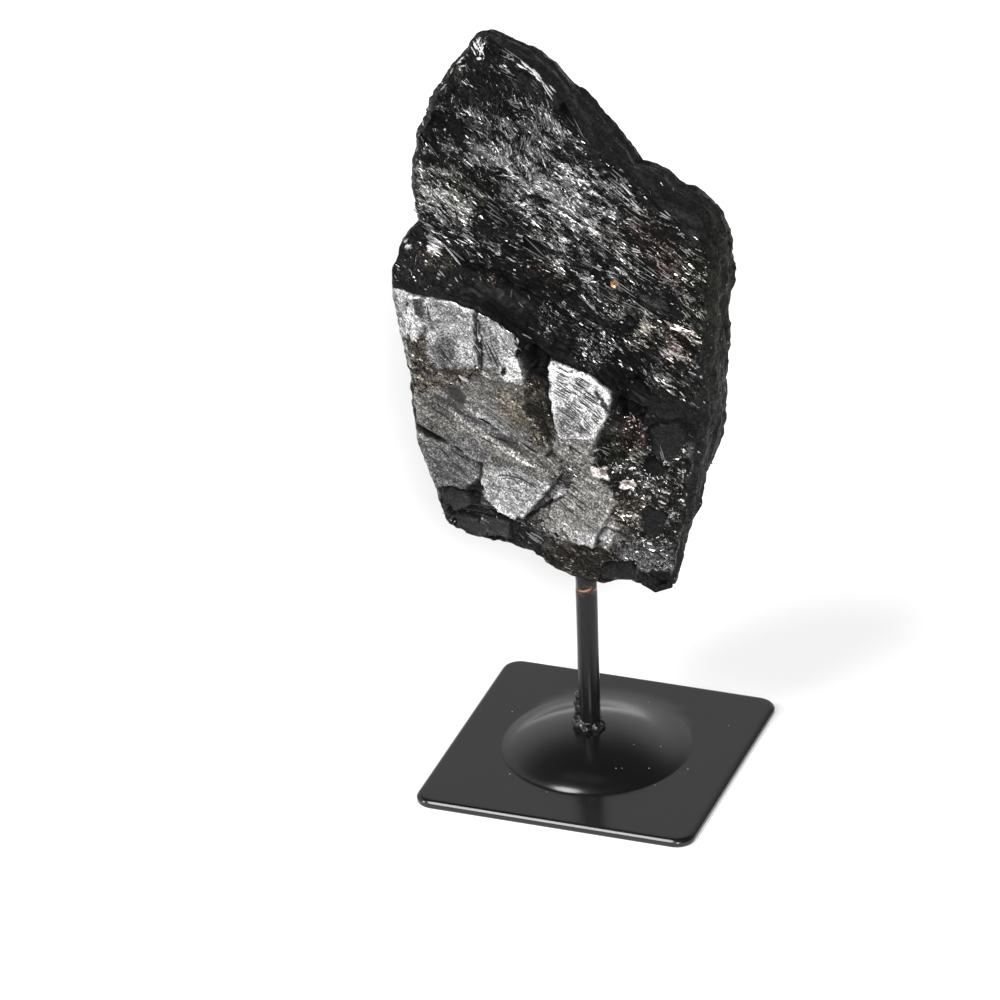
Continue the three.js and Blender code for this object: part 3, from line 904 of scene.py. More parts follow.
@dataclass(frozen=True)
class Stroke:
    """Blades side by side: the middle of the set in x and z, a blade's length, its turn in degrees
    from +X towards +Z, its width and reflectance, how many there are, the gap between them, how far
    their middles stand off a straight line, and their tint."""

    x: float
    z: float
    length: float
    turn: float
    width: float
    shine: float
    count: int = 1
    gap: float = 0.8
    bend: float = 0.0
    tint: Tint = Tint.NONE
    fan: float = 15.0

    def lines(self, stations: int) -> list[Array]:
        """The middle line of each blade, as x and z, with an uneven turn, shift and length.

        Args:
            stations: number of points on a line.

        Returns:
            One array of points for each blade.
        """
        share = np.linspace(-1.0, 1.0, stations)
        number = np.arange(float(self.count))
        spot = np.full(self.count, self.x + self.z)
        fans, shifts, cuts = (chance(number, spot, channel) - 0.5 for channel in (5, 6, 7))
        turns = np.radians(self.turn + self.fan * fans * min(1.0, self.count - 1.0))
        found = []
        for turn, shift, cut, place in zip(turns, shifts, cuts, number - 0.5 * (self.count - 1)):
            along = self.length * (0.5 * share * (0.8 - 0.9 * cut) + 0.45 * shift)
            off = (place + 0.7 * cut) * self.gap + self.bend * (1.0 - share ** 2)
            x = self.x + along * np.cos(turn) - off * np.sin(turn)
            z = self.z + along * np.sin(turn) + off * np.cos(turn)
            found.append(np.stack([x, z], axis=1))
        return found


# Corners of the stone, each x, y and z in millimetres from the plate's middle.
LIP_LEFT = (-49.3, -15.5, 147)
CREASE_LEFT = (-43.2, -8, 163.3)
LIP_RIGHT = (35, -10, 117)
CREASE_RIGHT = (35.3, -10, 119.5)
FOOT_LEFT = (-34.9, -13, 74)
FOOT_RIGHT = (24, -8, 63)
PEAK = (-24.5, -2.5, 219.6)
SHOULDER = (39, -10, 168.5)
BACK_FOOT_LEFT = (-33, 7, 78)
BACK_FOOT_RIGHT = (22.3, 0.5, 60)
BACK_PEAK = (-26, 6, 215.6)
BACK_SHOULDER = (38.4, 9, 165)


@dataclass(frozen=True)
class StoneLines:
    """The stone's lines from corner to corner: sides upwards, others rightwards, seen from the front."""

    # Left side of the block's front.
    left_low: Line = (
        FOOT_LEFT, (-37.4, -13.5, 77.5), (-37.6, -14, 81.5), (-39.5, -15, 88), (-43, -16, 98),
        (-44.3, -16, 113.5), (-45.4, -16, 124), (-46.8, -16, 133), (-49.2, -16, 143.5), LIP_LEFT,
    )
    # Left end of the ledge.
    left_ledge: Line = (
        LIP_LEFT, (-50, -14, 151.5), (-47.9, -12.5, 157), (-45.3, -11.5, 162.2), CREASE_LEFT,
    )
    # Left side of the upper face.
    left_high: Line = (
        CREASE_LEFT, (-44.9, -8, 170), (-45, -8, 176), (-43.9, -8, 182.3), (-42.9, -8, 188.4),
        (-39.2, -8, 195.3), (-38, -8, 201), (-34.7, -7.5, 206.8), (-32.1, -7, 211.4), (-28.4, -6, 216.2),
        (-26.6, -4, 218.6), PEAK,
    )
    # Right side of the block's front.
    right_low: Line = (
        FOOT_RIGHT, (26.5, -9, 70), (30.2, -10, 85), (32.1, -10, 101), (34.4, -10, 114), LIP_RIGHT,
    )
    # Right end of the ledge.
    right_ledge: Line = (LIP_RIGHT, CREASE_RIGHT)
    # Right side of the upper face.
    right_high: Line = (CREASE_RIGHT, (36.1, -10, 132), (37.5, -10, 147.5), (38.9, -10, 162.5), SHOULDER)
    # Foot of the front.
    bottom: Line = (
        FOOT_LEFT, (-30.3, -13, 73), (-25.7, -13, 72), (-19, -12.5, 71), (-12.3, -12, 69.5),
        (-8, -11.5, 65), (-1.4, -11, 63), (5.3, -10.5, 62.3), (9.8, -10, 63.7), (16.5, -9.5, 63.6),
        (20.8, -9, 61.8), FOOT_RIGHT,
    )
    # Top of the upper face.
    top: Line = (
        PEAK, (-19.5, -6, 218.6), (-12, -8, 215.6), (-6, -8.5, 211.9), (-1, -9, 205), (4.6, -9, 195.8),
        (14, -9, 189.6), (24.9, -9.5, 179.4), (33.2, -10, 175.5), SHOULDER,
    )
    # Upper edge of the block's front.
    lip: Line = (
        LIP_LEFT, (-40.4, -18.5, 147.8), (-31.8, -19.3, 147.8), (-23.1, -19.3, 145.2), (-17.5, -19, 142),
        (-12.7, -18, 138), (-8.2, -15, 135.4), (-3.4, -18, 133.6), (8, -19, 131), (14, -17.5, 126),
        (16.5, -12.5, 121), (22.8, -10.8, 118.6), LIP_RIGHT,
    )
    # Inner edge of the ledge, at the foot of the upper face.
    crease: Line = (
        CREASE_LEFT, (-39.2, -9, 160), (-30.2, -8.2, 154.2), (-19.6, -6.5, 149), (-13, -4.5, 144.1),
        (-7.8, -3.4, 141.3), (-1.6, -3.2, 137.7), (4.7, -3.6, 133.4), (10.7, -5, 128.6), (15.4, -7, 123.6),
        (22.3, -9, 121), CREASE_RIGHT,
    )
    # Left side of the back.
    back_left: Line = (
        BACK_FOOT_LEFT, (-39.5, 8.5, 93), (-42.5, 10, 112), (-45, 10.5, 131), (-46.5, 10, 149),
        (-44, 9, 162), (-44, 9, 176), (-41.5, 8.5, 190), (-36, 8, 202.5), (-30.4, 7, 211), BACK_PEAK,
    )
    # Right side of the back.
    back_right: Line = (
        BACK_FOOT_RIGHT, (23, 3.5, 64.3), (24, 5.5, 69.6), (25.8, 7, 75.4), (28.3, 8, 81.5),
        (30.8, 8.5, 91), (33.4, 9, 97.2), (35, 9, 103.5), (36.5, 9.5, 118.8), (38.1, 9.5, 134.3),
        (37.4, 9.5, 143.4), (39.3, 9.5, 155), BACK_SHOULDER,
    )
    # Foot of the back.
    back_bottom: Line = (
        BACK_FOOT_LEFT, (-22, 9, 73), (-9, 10, 69), (4, 9, 65), (15, 6, 62.5), BACK_FOOT_RIGHT,
    )
    # Top of the back.
    back_top: Line = (
        BACK_PEAK, (-20, 8.5, 212.4), (-13, 9, 210.4), (-9.9, 9, 208), (-5, 9, 202.9), (1, 9, 198),
        (6, 9, 193.1), (10.3, 9, 187.7), (14.2, 9, 182.5), (20.9, 9, 180.3), (24.4, 9, 177.6),
        (29.7, 9, 176.2), (33.6, 9, 173.4), (36.4, 9, 170.6), BACK_SHOULDER,
    )


# Flat faces of the front. A later one lies over an earlier one.
FACETS = (
    # Left edge.
    Facet(Ring([[-48.5, 147], [-43, 148], [-42, 137], [-43.6, 124], [-46, 126]]), -17.6, (-0.55, 0)),
    # Upper block.
    Facet(Ring([[-43, 147], [-32, 147.4], [-25.2, 145], [-25.2, 126], [-34, 122.5], [-42.5, 127]]), -19.2,
          (0.02, -0.05)),
    # Beside crack.
    Facet(Ring([[-23.6, 144], [-17.5, 141.2], [-13, 136.5], [-12.4, 125.5], [-16, 124], [-23.6, 128]]),
          -18.6, (0.1, -0.02)),
    # Bright diamond.
    Facet(Ring([[-3.8, 132.4], [7.5, 130], [13.6, 125.4], [12.4, 120], [8.6, 110.5], [5.5, 105],
          [-3, 111]]), -19.2, (0.04, -0.08)),
    # Long slope.
    Facet(Ring([[-43, 121], [-28, 121], [-13, 117], [-5, 107], [-7, 101], [-24, 98.5], [-42, 108]]), -18.2,
          (0.03, 0.03)),
    # Low wedge.
    Facet(Ring([[-24, 98], [-15, 100], [-5, 102], [-2.6, 98], [-8.5, 89], [-14.6, 81.4], [-20, 85],
          [-24, 90]]), -18.3, (0.06, 0.0)),
    # Low middle.
    Facet(Ring([[-3, 92], [6, 91.4], [10.5, 87], [5.6, 75.6], [0, 77], [-6, 84]]), -16.0, (0.06, 0.04)),
    # Broken foot.
    Facet(Ring([[-37, 87.5], [-27, 86.5], [-20, 82.6], [-14, 78.8], [-9, 76], [-9, 68.5], [-34, 75]]),
          -11.4, (0.02, 0.06)),
)

# Oval hollows and grooves, each with its depth.
DENTS = (
    (Oval(-34, 194, 6.4, 5.4, 10), 3.2),
    (Oval(-24.2, 136, 11, 0.8, 92), 1.6),
    (Oval(-8.4, 130, 9.5, 4.2, 104), 4.2),
    (Oval(14.5, 113, 16, 5, 70), 4.5),
    (Oval(-32, 118, 3.6, 2.4, -35), 0.8),
    (Oval(-39, 104, 6.5, 2, -12), 2.0),
    (Oval(-26.5, 88.5, 4.4, 2.6, 60), 2.2),
    (Oval(-20, 168, 22, 2.4, -34), 1.2),
    (Oval(8, 160, 20, 2.2, -33), 1.3),
    (Oval(22, 146, 17, 2.4, -34), 1.4),
    (Oval(-16, 206, 10, 5, -40), 1.6),
    (Oval(20, 132, 6, 4, 30), 2.0),
    (Oval(-20, 107, 20, 2.2, -30), 1.2),
)

# Smooth dark faces of the front.
SLABS = (
    Slab(Ring([[-15, 215.4], [-9.1, 214], [-0.9, 205.5], [-3, 204.6], [-11.5, 208.2]]), 0.3, (0.1, 0.25),
         0.008),
    Slab(Ring([[-1.4, 205], [1.6, 201], [4.6, 197], [1.4, 198.4], [-2, 203]]), 0.9, (-0.1, 0.3), 0.004),
    Slab(Ring([[3, 197.6], [7.3, 193], [9.6, 189], [7, 188.5], [3.5, 193]]), 0.4, (0.2, 0.2), 0.009),
    Slab(Ring([[17.5, 184.6], [21.6, 181], [27.5, 178.6], [24, 177.4], [19.5, 180.6]]), -0.2, (0.1, 0.4),
         0.007),
    Slab(Ring([[30.4, 176], [35.6, 172.6], [37.2, 166], [34, 168]]), 0.3, (0.2, 0.1), 0.011),
    Slab(Ring([[20.4, 112], [27.4, 114.6], [30.6, 112], [29.6, 105.6], [26, 103.4], [21.6, 104.6]]), 0.1,
         (-0.05, 0.12), 0.008),
    Slab(Ring([[18.2, 86.6], [21, 89], [25.4, 86.4], [24.4, 81], [20.8, 78.6], [19.4, 82.4]]), 0.5,
         (0.10, 0.15), 0.006),
    Slab(Ring([[18.6, 101.4], [22.4, 103.4], [26.2, 101.6], [24.4, 98.8], [21, 97.4]]), 0.8, (0.0, 0.2),
         0.003),
    Slab(Ring([[22.3, 121.4], [29.6, 122], [32.4, 118.6], [27.3, 115.4], [22.6, 117.2]]), 0.4, (0.15, 0.3),
         0.006),
    Slab(Ring([[13.2, 123], [17.2, 121.4], [19.6, 116.5], [14.4, 114.4]]), 0.8, (-0.2, 0.3), 0.003),
    Slab(Ring([[-10.9, 136.6], [-6, 134.4], [-3.8, 130.7], [-6.4, 127.4], [-9.6, 127.2]]), 1.6, (0.25, 0.2),
         0.004),
    Slab(Ring([[-37.6, 86], [-30.6, 85.4], [-28.6, 82.6], [-33.5, 80.1], [-37.1, 82]]), 1.2, (-0.1, 0.3),
         0.013),
    Slab(Ring([[-34.7, 77.6], [-28.4, 77], [-27, 74], [-33.4, 74.6]]), 0.5, (-0.1, 0.2), 0.017),
    Slab(Ring([[-27.2, 78], [-19.2, 77.4], [-18.8, 73.6], [-27.6, 73.4]]), 0.2, (0.1, 0.3), 0.019),
    Slab(Ring([[7.4, 68.6], [16.2, 69.6], [16, 64.4], [7.6, 64.2]]), 0.4, (0.15, 0.35), 0.007),
    Slab(Ring([[19, 150.9], [26, 151.4], [27, 148], [19.4, 146.8]]), 0.3, (0.0, 0.0), 0.021),
    Slab(Ring([[12.9, 143.8], [19.1, 145], [18.8, 139.1], [12.6, 138]]), 1.6, (-0.2, 0.4), 0.002),
    Slab(Ring([[4.4, 156.6], [9.1, 157.2], [9.2, 152.8], [4.4, 152.4]]), 1.4, (0.2, 0.4), 0.001),
    Slab(Ring([[-14.6, 162.5], [-7.6, 160], [-8.6, 156.5], [-14.8, 158.6]]), 0.9, (-0.1, 0.35), 0.003),
    Slab(Ring([[-3, 147.6], [4.6, 142.8], [3, 138.6], [-4.6, 143.4]]), 0.5, (0.1, 0.3), 0.005),
)

EVERYWHERE = Outline([[-70, 50], [-70, 240], [60, 240], [60, 50]])

# Finishes of the block's front, painted over each other in this order.
BLOCK_MARKS = (
    Mark(EVERYWHERE, 0.055, 0.30, Tint.WARM),
    # The long granular slope, its bands and its pits.
    Mark(Outline([[-46, 125], [-36, 127], [-24.5, 129], [-12.4, 123.5], [-5.6, 107], [-2.5, 101],
         [-5.6, 94], [-14, 97], [-24, 96], [-37.5, 84.5], [-45, 92]]), 0.098, 0.12, Tint.WARM, edge=1.5),
    Mark(Outline([[-43, 101], [-32, 105.5], [-23, 102.5], [-23.5, 95.5], [-34, 83], [-39, 85]]), 0.085,
         0.12, edge=2.0),
    Mark(Outline([[-46, 125.5], [-30, 128], [-24, 127], [-33, 121], [-45, 117]]), 0.066, 0.3, Tint.BROWN,
         edge=2.2),
    Mark(Outline([[-36.5, 117], [-32, 119.6], [-20, 111], [-14.4, 106], [-17, 104.4], [-25.5, 108.8]]),
         0.050, 0.1, Tint.WARM, edge=1.6),
    Mark(Outline([[-30.3, 115.4], [-23.9, 114], [-16.8, 109], [-19, 106.6], [-25.5, 110]]), 0.150, 0.1,
         edge=1.4),
    Mark(Outline([[-20, 122], [-13, 121], [-8, 112], [-15, 112]]), 0.080, 0.15, Tint.BROWN, edge=2.6),
    Mark(Outline([[-10.5, 119.4], [-8.2, 118.5], [-5.4, 107.2], [-9, 106.7]]), 0.050, 0.60, Tint.GOLD,
         edge=1.6),
    Mark(Outline([[-33.6, 121.6], [-29.8, 120.8], [-27.6, 117.2], [-28.3, 114.6], [-31.7, 115.3]]), 0.034,
         0.0, Tint.WARM, edge=0.35, polish=0.9),
    Mark(Outline([[-43.4, 105.7], [-38.4, 107.3], [-35, 104.6], [-37.5, 102], [-42, 102.6]]), 0.012, 0.05,
         Tint.WARM, edge=0.4, polish=0.6),
    # The left margin.
    Mark(Outline([[-50.5, 148], [-43.4, 149.6], [-40.2, 147.6], [-41.6, 143], [-39.2, 139], [-41.8, 134.6],
         [-47, 132.6], [-49, 137]]), 0.28, 0.5, steep=1.0),
    Mark(Outline([[-48.6, 146.8], [-45.1, 147.6], [-44.6, 144.9], [-48.3, 143.3]]), 0.44, 0.4, edge=0.5,
         steep=1.0),
    Mark(Outline([[-44.8, 142], [-41.5, 143.4], [-41.7, 135.5], [-45.4, 133.9]]), 0.38, 0.4, edge=0.6,
         steep=1.0),
    Mark(Outline([[-41.8, 146.4], [-38.9, 147], [-38.9, 142.4], [-41.2, 141.6]]), 0.045, 0.2, edge=0.5,
         polish=0.2),
    Mark(Outline([[-48, 132.4], [-42, 134], [-37.5, 133.2], [-37, 125.8], [-46, 122.6]]), 0.060, 0.5,
         Tint.BROWN, edge=1.8),
    Mark(Outline([[-47.6, 132], [-45.2, 132], [-44, 120], [-46, 120]]), 0.16, 0.3, edge=1.2, steep=1.0),
    # The large face left of the crack, with its arrowhead.
    Mark(Outline([[-38.5, 147], [-30.7, 148], [-25, 146.4], [-23.6, 141], [-24, 130], [-25.6, 127.4],
         [-35.7, 126.6], [-38, 129.5], [-38.7, 139.4]]), 0.185, 0.06, edge=0.5),
    Mark(Outline([[-38.4, 135.4], [-33.6, 139], [-28.7, 141.6], [-29.1, 139.4], [-33.4, 136.6],
         [-37.3, 132.8]]), 0.29, 0.08, edge=0.5, steep=1.0),
    Mark(Outline([[-34, 137], [-30.6, 132.5], [-34.3, 126.6], [-37.3, 131.5]]), 0.095, 0.05, edge=0.6),
    Mark(Outline([[-29.2, 141.4], [-24.2, 133.4], [-24.2, 128.6], [-27.2, 128.6], [-30, 134.8]]), 0.29, 0.1,
         edge=0.6, steep=1.0),
    Mark(Outline([[-29.2, 147], [-24, 145.6], [-24.3, 136.4], [-28.6, 141.8]]), 0.23, 0.08, edge=0.7,
         steep=1.0),
    # The face right of the crack.
    Mark(Outline([[-22.9, 145], [-18.5, 143.6], [-14.2, 139.6], [-12.9, 131.9], [-12.2, 127.8],
         [-12.7, 124.6], [-16.5, 125.6], [-19.1, 128.2], [-23, 128]]), 0.160, 0.06, edge=0.45),
    Mark(Outline([[-19.4, 143.4], [-14.4, 139.5], [-13.3, 132.2], [-16.2, 132.6], [-18.6, 138.5]]), 0.24,
         0.1, edge=0.7, steep=1.0),
    Mark(Outline([[-18.5, 131], [-13.8, 132.2], [-12.3, 127.8], [-12.5, 124.3], [-16.4, 125.2],
         [-18.2, 127.8]]), 0.40, 0.2, edge=0.45),
    Mark(Outline([[-18, 128.6], [-17, 128.6], [-17, 127], [-18.1, 127]]), 0.004, 0.0, edge=0.3),
    Mark(Outline([[-24, 145.8], [-23.2, 141], [-23.7, 136.4], [-23.1, 131.4], [-23.8, 128.2], [-22.9, 128],
         [-22.6, 131.6], [-23, 136], [-22.5, 141], [-23, 145.8]]), 0.001, 0.0, edge=0.25),
    Mark(Outline([[-38.5, 126.8], [-32.4, 125.9], [-26.9, 124.2], [-26.9, 123.3], [-32.6, 124.9],
         [-38.5, 125.8]]), 0.012, 0.1, Tint.RED, edge=0.4),
    # The channel, painted dark as shade in its hollow, and the bright face right of it.
    Mark(Outline([[-11.6, 128], [-3.2, 129], [-2.6, 112], [-4.4, 106.4], [-9.1, 111.8], [-11.3, 120.2]]),
         0.036, 0.26, Tint.BROWN, edge=0.9),
    # Painted shade in the sunken channel.
    Mark(Outline([[-14.4, 141], [-9.3, 137.6], [-2.9, 134.4], [-3.1, 113], [-4.3, 113], [-6.4, 124],
         [-11.6, 126.6], [-12.1, 128.7], [-13.2, 133.8]]), 0.003, 0.14, edge=0.5),
    Mark(Oval(-10.9, 131.4, 3.4, 1.7, 82), 0.022, 0.0, Tint.WARM, edge=0.25),
    Mark(Oval(-10.9, 131.4, 2.8, 1.2, 82), 0.002, 0.0, edge=0.25, polish=0.6),
    Mark(Outline([[-2.6, 111], [4.4, 110.9], [9.4, 114], [9.6, 105], [5, 99], [-3, 100]]), 0.13, 0.3,
         Tint.WARM, edge=1.6),
    Mark(Outline([[-3.3, 134.2], [-1, 134], [3, 132.6], [6.5, 131.2], [11.2, 128.4], [13.6, 126.2],
         [12.2, 120.6], [10.4, 115.4], [9.4, 112.9], [4.2, 110.2], [-1.8, 110.5], [-3.5, 120.5]]), 0.50,
         0.2, edge=0.4),
    Mark(Outline([[-2.6, 118], [1, 120], [3, 116], [6, 112.5], [-2, 111]]), 0.19, 0.2, edge=1.6),
    Mark(Oval(10.8, 123.5, 3.4, 0.9, -68), 0.02, 0.1, edge=0.4),
    # The faces low on the block, and a painted shadow under the wedge.
    Mark(Outline([[-10.5, 83], [-2.3, 90], [4, 99], [9, 98], [14, 91], [13.5, 84], [11, 78], [5, 72],
         [-1, 74], [-7, 78.6]]), 0.165, 0.12, Tint.WARM, edge=1.3),
    Mark(Outline([[1.5, 78], [10.2, 82], [10.3, 77], [5, 72.2]]), 0.26, 0.15, edge=0.7),
    Mark(Outline([[-26.6, 88.8], [-24.6, 93.4], [-22.2, 97], [-16.5, 98.2], [-9.7, 96.5], [-3.1, 93.2],
         [-1.1, 91.4], [-7.5, 87.6], [-11.4, 84.2], [-14.6, 82.8], [-20, 81], [-25, 84]]), 0.215, 0.06,
         edge=0.5),
    Mark(Outline([[-24.8, 86.5], [-17, 88.4], [-13.4, 84], [-20, 81.3]]), 0.31, 0.1, edge=1.4),
    # Painted shadow that the wedge casts along its lower right edge.
    Mark(Outline([[-1.2, 91.8], [-1.5, 90.9], [-8, 85.3], [-14.8, 81], [-15, 82], [-11, 84.2], [-6, 88]]),
         0.004, 0.04, edge=0.3),
    Mark(Outline([[-30.2, 83], [-29.4, 90], [-25.8, 90], [-26.2, 85.5], [-28, 82.2]]), 0.008, 0.08,
         edge=0.6, polish=0.4),
    Mark(Outline([[-39, 82.6], [-28.6, 81.4], [-21, 80.4], [-14.8, 80.6], [-11.5, 76], [-8.5, 66],
         [-38, 70]]), 0.010, 0.30),
    Mark(Outline([[-10, 69], [0, 75.4], [9.2, 73.6], [12.4, 74], [11.8, 66], [8.5, 60], [-8, 62]]), 0.012,
         0.34, Tint.BROWN, edge=1.6),
    Mark(Outline([[12, 77], [26, 78], [27.5, 68], [24, 59], [15, 62], [12.6, 66]]), 0.070, 0.45, edge=1.6),
    Mark(Outline([[16.8, 67], [26, 68], [25, 58], [16.4, 60]]), 0.004, 0.1),
    # The glittering lower right and the dark ground above it.
    Mark(Outline([[8.4, 108.5], [31, 112.5], [31.5, 88], [26.5, 77], [16.4, 79], [12.5, 90], [7.5, 100]]),
         0.008, 0.80, Tint.WARM, edge=1.5),
    Mark(Outline([[9.1, 109.9], [18.8, 109], [18.8, 101.6], [8.2, 101.1]]), 0.010, 0.60, Tint.OLIVE,
         edge=1.8),
    Mark(Outline([[12.5, 91], [19.5, 91], [18.9, 82.5], [12.2, 82.6]]), 0.030, 0.85, Tint.GOLD, edge=1.8),
    Mark(Outline([[13.4, 114.4], [21, 115.1], [21.1, 107.4], [13.4, 106]]), 0.012, 0.55, Tint.RED,
         edge=1.6),
    Mark(Outline([[13.6, 127], [36, 121], [34.5, 109], [21.4, 113], [13.4, 115]]), 0.003, 0.18, edge=1.0),
    Mark(Outline([[6.6, 101], [10, 100.4], [10.4, 97.4], [6.8, 97.2]]), 0.55, 0.2, Tint.ROSE, edge=0.35),
    Mark(Outline([[13.6, 96.7], [16.8, 96.6], [16.8, 93.8], [13.7, 93.6]]), 0.50, 0.2, Tint.ROSE,
         edge=0.35),
)

# Finishes of the ledge.
LEDGE_MARKS = (
    Mark(EVERYWHERE, 0.004, 0.10, polish=0.4),
    Mark(Outline([[-52, 158], [-42, 164], [-36, 160], [-40, 152], [-52, 147]]), 0.005, 0.22),
    Mark(Outline([[-42, 159.2], [-34.8, 157.1], [-32, 154.5], [-41, 154]]), 0.014, 0.40, Tint.BROWN,
         edge=1.0),
    Mark(Outline([[-41, 161], [-38.7, 160.8], [-34.6, 158.3], [-37.6, 157.8]]), 0.70, 0.2, edge=0.3),
    Mark(Oval(-46, 158.4, 1.3, 0.6, -50), 0.5, 0.3, edge=0.3),
    Mark(Outline([[-30, 151], [-20, 149.6], [-3, 138], [-2, 132], [-14, 138], [-30, 146]]), 0.003, 0.02,
         polish=0.9),
    Mark(Outline([[-26, 150.4], [-16, 147.4], [-8, 141.4], [-8.4, 140.6], [-17, 145.6], [-26, 149]]), 0.007,
         0.0, edge=0.7, polish=0.9),
    Mark(Outline([[-24.6, 156], [-15, 153.4], [-15, 150.2], [-24, 150.8]]), 0.008, 0.40, Tint.RED,
         edge=1.0),
    Mark(Outline([[4, 136], [22, 124], [36, 122], [36, 116], [16, 120], [4, 130]]), 0.005, 0.06, edge=0.9,
         polish=0.8),
    Mark(Outline([[-10.6, 142.6], [-1, 143.6], [9.5, 138], [13, 131.5], [8.9, 130.5], [0.7, 134],
         [-9, 137.2]]), 0.006, 0.55, edge=1.0),
)

# Finishes of the upper face.
FACE_MARKS = (
    Mark(EVERYWHERE, 0.005, 0.36),
    Mark(Outline([[-46, 182], [-34, 209], [-24, 220], [-30, 198], [-37, 184]]), 0.007, 0.50, edge=2.5),
    Mark(Outline([[-34.5, 210.5], [-25, 216], [-14, 213], [-8, 207], [-13.5, 202.3], [-33, 199.8],
         [-38, 203]]), 0.004, 0.24, Tint.WARM, edge=2.5),
    Mark(Outline([[-30, 201], [-14, 203.5], [-2, 204], [9, 194], [22, 181], [12, 168], [-9.5, 167],
         [-30, 172]]), 0.009, 0.88, edge=3.5),
    Mark(Oval(-9, 187, 15, 7, -44), 0.011, 1.0, edge=3.0),
    Mark(Outline([[-46, 181], [-31, 182], [-27, 172], [-32, 163], [-46, 162]]), 0.012, 0.95, Tint.WARM,
         edge=2.0),
    Mark(Outline([[-39.8, 170.6], [-35.4, 171], [-35, 165.4], [-39.4, 165.4]]), 0.09, 1.0, edge=1.0),
    Mark(Outline([[-32.4, 180.3], [-22.4, 181.9], [-23, 173.7], [-32.8, 172.5]]), 0.012, 0.8, Tint.OLIVE,
         edge=2.0),
    Mark(Outline([[-16, 166], [18, 166], [34, 150], [33, 122], [20, 124], [-2, 140]]), 0.006, 0.50,
         Tint.WARM, edge=4.0),
    Mark(Oval(4, 158, 10, 5, -30), 0.016, 0.85, edge=2.5),
    Mark(Outline([[-16, 217], [-6, 214], [4, 200], [11, 191], [26, 181], [42, 172], [42, 160], [36, 166],
         [28, 175.5], [19, 179], [7, 188], [-3, 203], [-12, 207.6]]), 0.003, 0.16, edge=1.0, polish=0.4),
    Mark(Outline([[-40.2, 195.4], [-33.3, 199], [-29, 195.4], [-28.8, 187.8], [-36.5, 184.1],
         [-40.6, 187.7]]), 0.003, 0.12, edge=1.2, polish=0.2),
    Mark(Outline([[-38, 190], [-33.6, 191.4], [-31, 188.6], [-34.4, 186.2]]), 0.006, 0.40, edge=1.2),
    Mark(Outline([[6.6, 169.4], [12.7, 170.4], [12.7, 163.8], [6.8, 163.2]]), 0.035, 0.8, Tint.ROSE,
         edge=1.6),
    Mark(Oval(24, 166, 10, 5, -60), 0.006, 0.55, Tint.RED, edge=3.0),
    Mark(Outline([[10.4, 153.7], [12.8, 154], [12.6, 151.6], [10, 150.8]]), 0.14, 0.3, Tint.ORANGE,
         edge=0.5),
    Mark(Outline([[32.7, 168.3], [39.1, 168], [38.4, 139.5], [32, 140.3]]), 0.006, 0.55, Tint.OLIVE,
         edge=2.0),
    Mark(Outline([[18, 142.6], [25.5, 143.8], [25.8, 137.5], [17.8, 135.3]]), 0.012, 0.80, Tint.GOLD,
         edge=1.8),
    Mark(Outline([[25.4, 142.6], [32.9, 144], [32.8, 134.2], [25.2, 132.6]]), 0.012, 0.80, Tint.RED,
         edge=1.8),
    Mark(Oval(-8, 150, 7, 2, -32), 0.006, 0.4, Tint.RED, edge=1.5),
    Mark(Outline([[-24, 151], [-8, 143], [6, 134], [18, 124], [20, 128], [6, 139], [-8, 148], [-24, 156]]),
         0.003, 0.16, edge=1.5, polish=0.4),
    Mark(Outline([[-10.6, 142.6], [-1, 143.6], [9.5, 138], [13, 131.5], [8.9, 130.5], [0.7, 134],
         [-9, 137.2]]), 0.006, 0.60, edge=1.0),
)

# Finishes of the sides.
SIDE_MARKS = (
    Mark(EVERYWHERE, 0.007, 0.08, polish=0.35),
    Mark(Oval(-47, 124, 14, 3, 85), 0.024, 0.4, Tint.WARM, edge=14.0),
    Mark(Oval(-42, 192, 10, 3, 70), 0.020, 0.5, edge=14.0),
    Mark(Oval(-18, 69, 20, 3, -8), 0.012, 0.4, Tint.BROWN, edge=8.0),
    Mark(Oval(40, 150, 10, 3, 85), 0.008, 0.15, Tint.OLIVE, edge=12.0),
)

# Finishes of the back.
BACK_MARKS = (
    Mark(EVERYWHERE, 0.006, 0.40, Tint.WARM),
    Mark(Oval(-8, 182, 30, 8, -38), 0.010, 0.90, edge=7.0),
    Mark(Oval(8, 160, 24, 4, -34), 0.008, 0.80, Tint.OLIVE, edge=5.0),
    Mark(Outline([[-46, 138], [-28, 146], [-12, 136], [2, 122], [14, 104], [16, 88], [2, 78], [-28, 80],
         [-42, 104]]), 0.042, 0.20, Tint.WARM, edge=6.0),
    Mark(Oval(-28, 132, 15, 4.5, -24), 0.110, 0.10, edge=3.0),
    Mark(Oval(-11, 126, 12, 2.2, -40), 0.150, 0.08, edge=1.6, steep=1.0),
    Mark(Oval(-22, 115, 21, 1.4, -31), 0.010, 0.10, edge=1.6),
    Mark(Oval(-6, 108, 15, 3.4, -33), 0.090, 0.15, Tint.WARM, edge=2.6),
    Mark(Oval(-26, 101, 11, 3.4, -28), 0.130, 0.10, edge=1.8),
    Mark(Oval(-10, 94, 16, 1.2, -27), 0.012, 0.10, edge=1.4),
    Mark(Oval(-15, 86, 12, 3.0, -18), 0.100, 0.15, edge=2.4),
    Mark(Oval(9, 130, 13, 4, -40), 0.012, 0.85, Tint.RED, edge=4.0),
    Mark(Oval(20, 104, 14, 5, 66), 0.010, 0.75, Tint.GOLD, edge=4.0),
    Mark(Oval(24, 158, 14, 6, -60), 0.006, 0.05, edge=3.0, polish=0.7),
    Mark(Oval(-36, 168, 10, 4, 70), 0.004, 0.10, edge=3.0, polish=0.5),
)

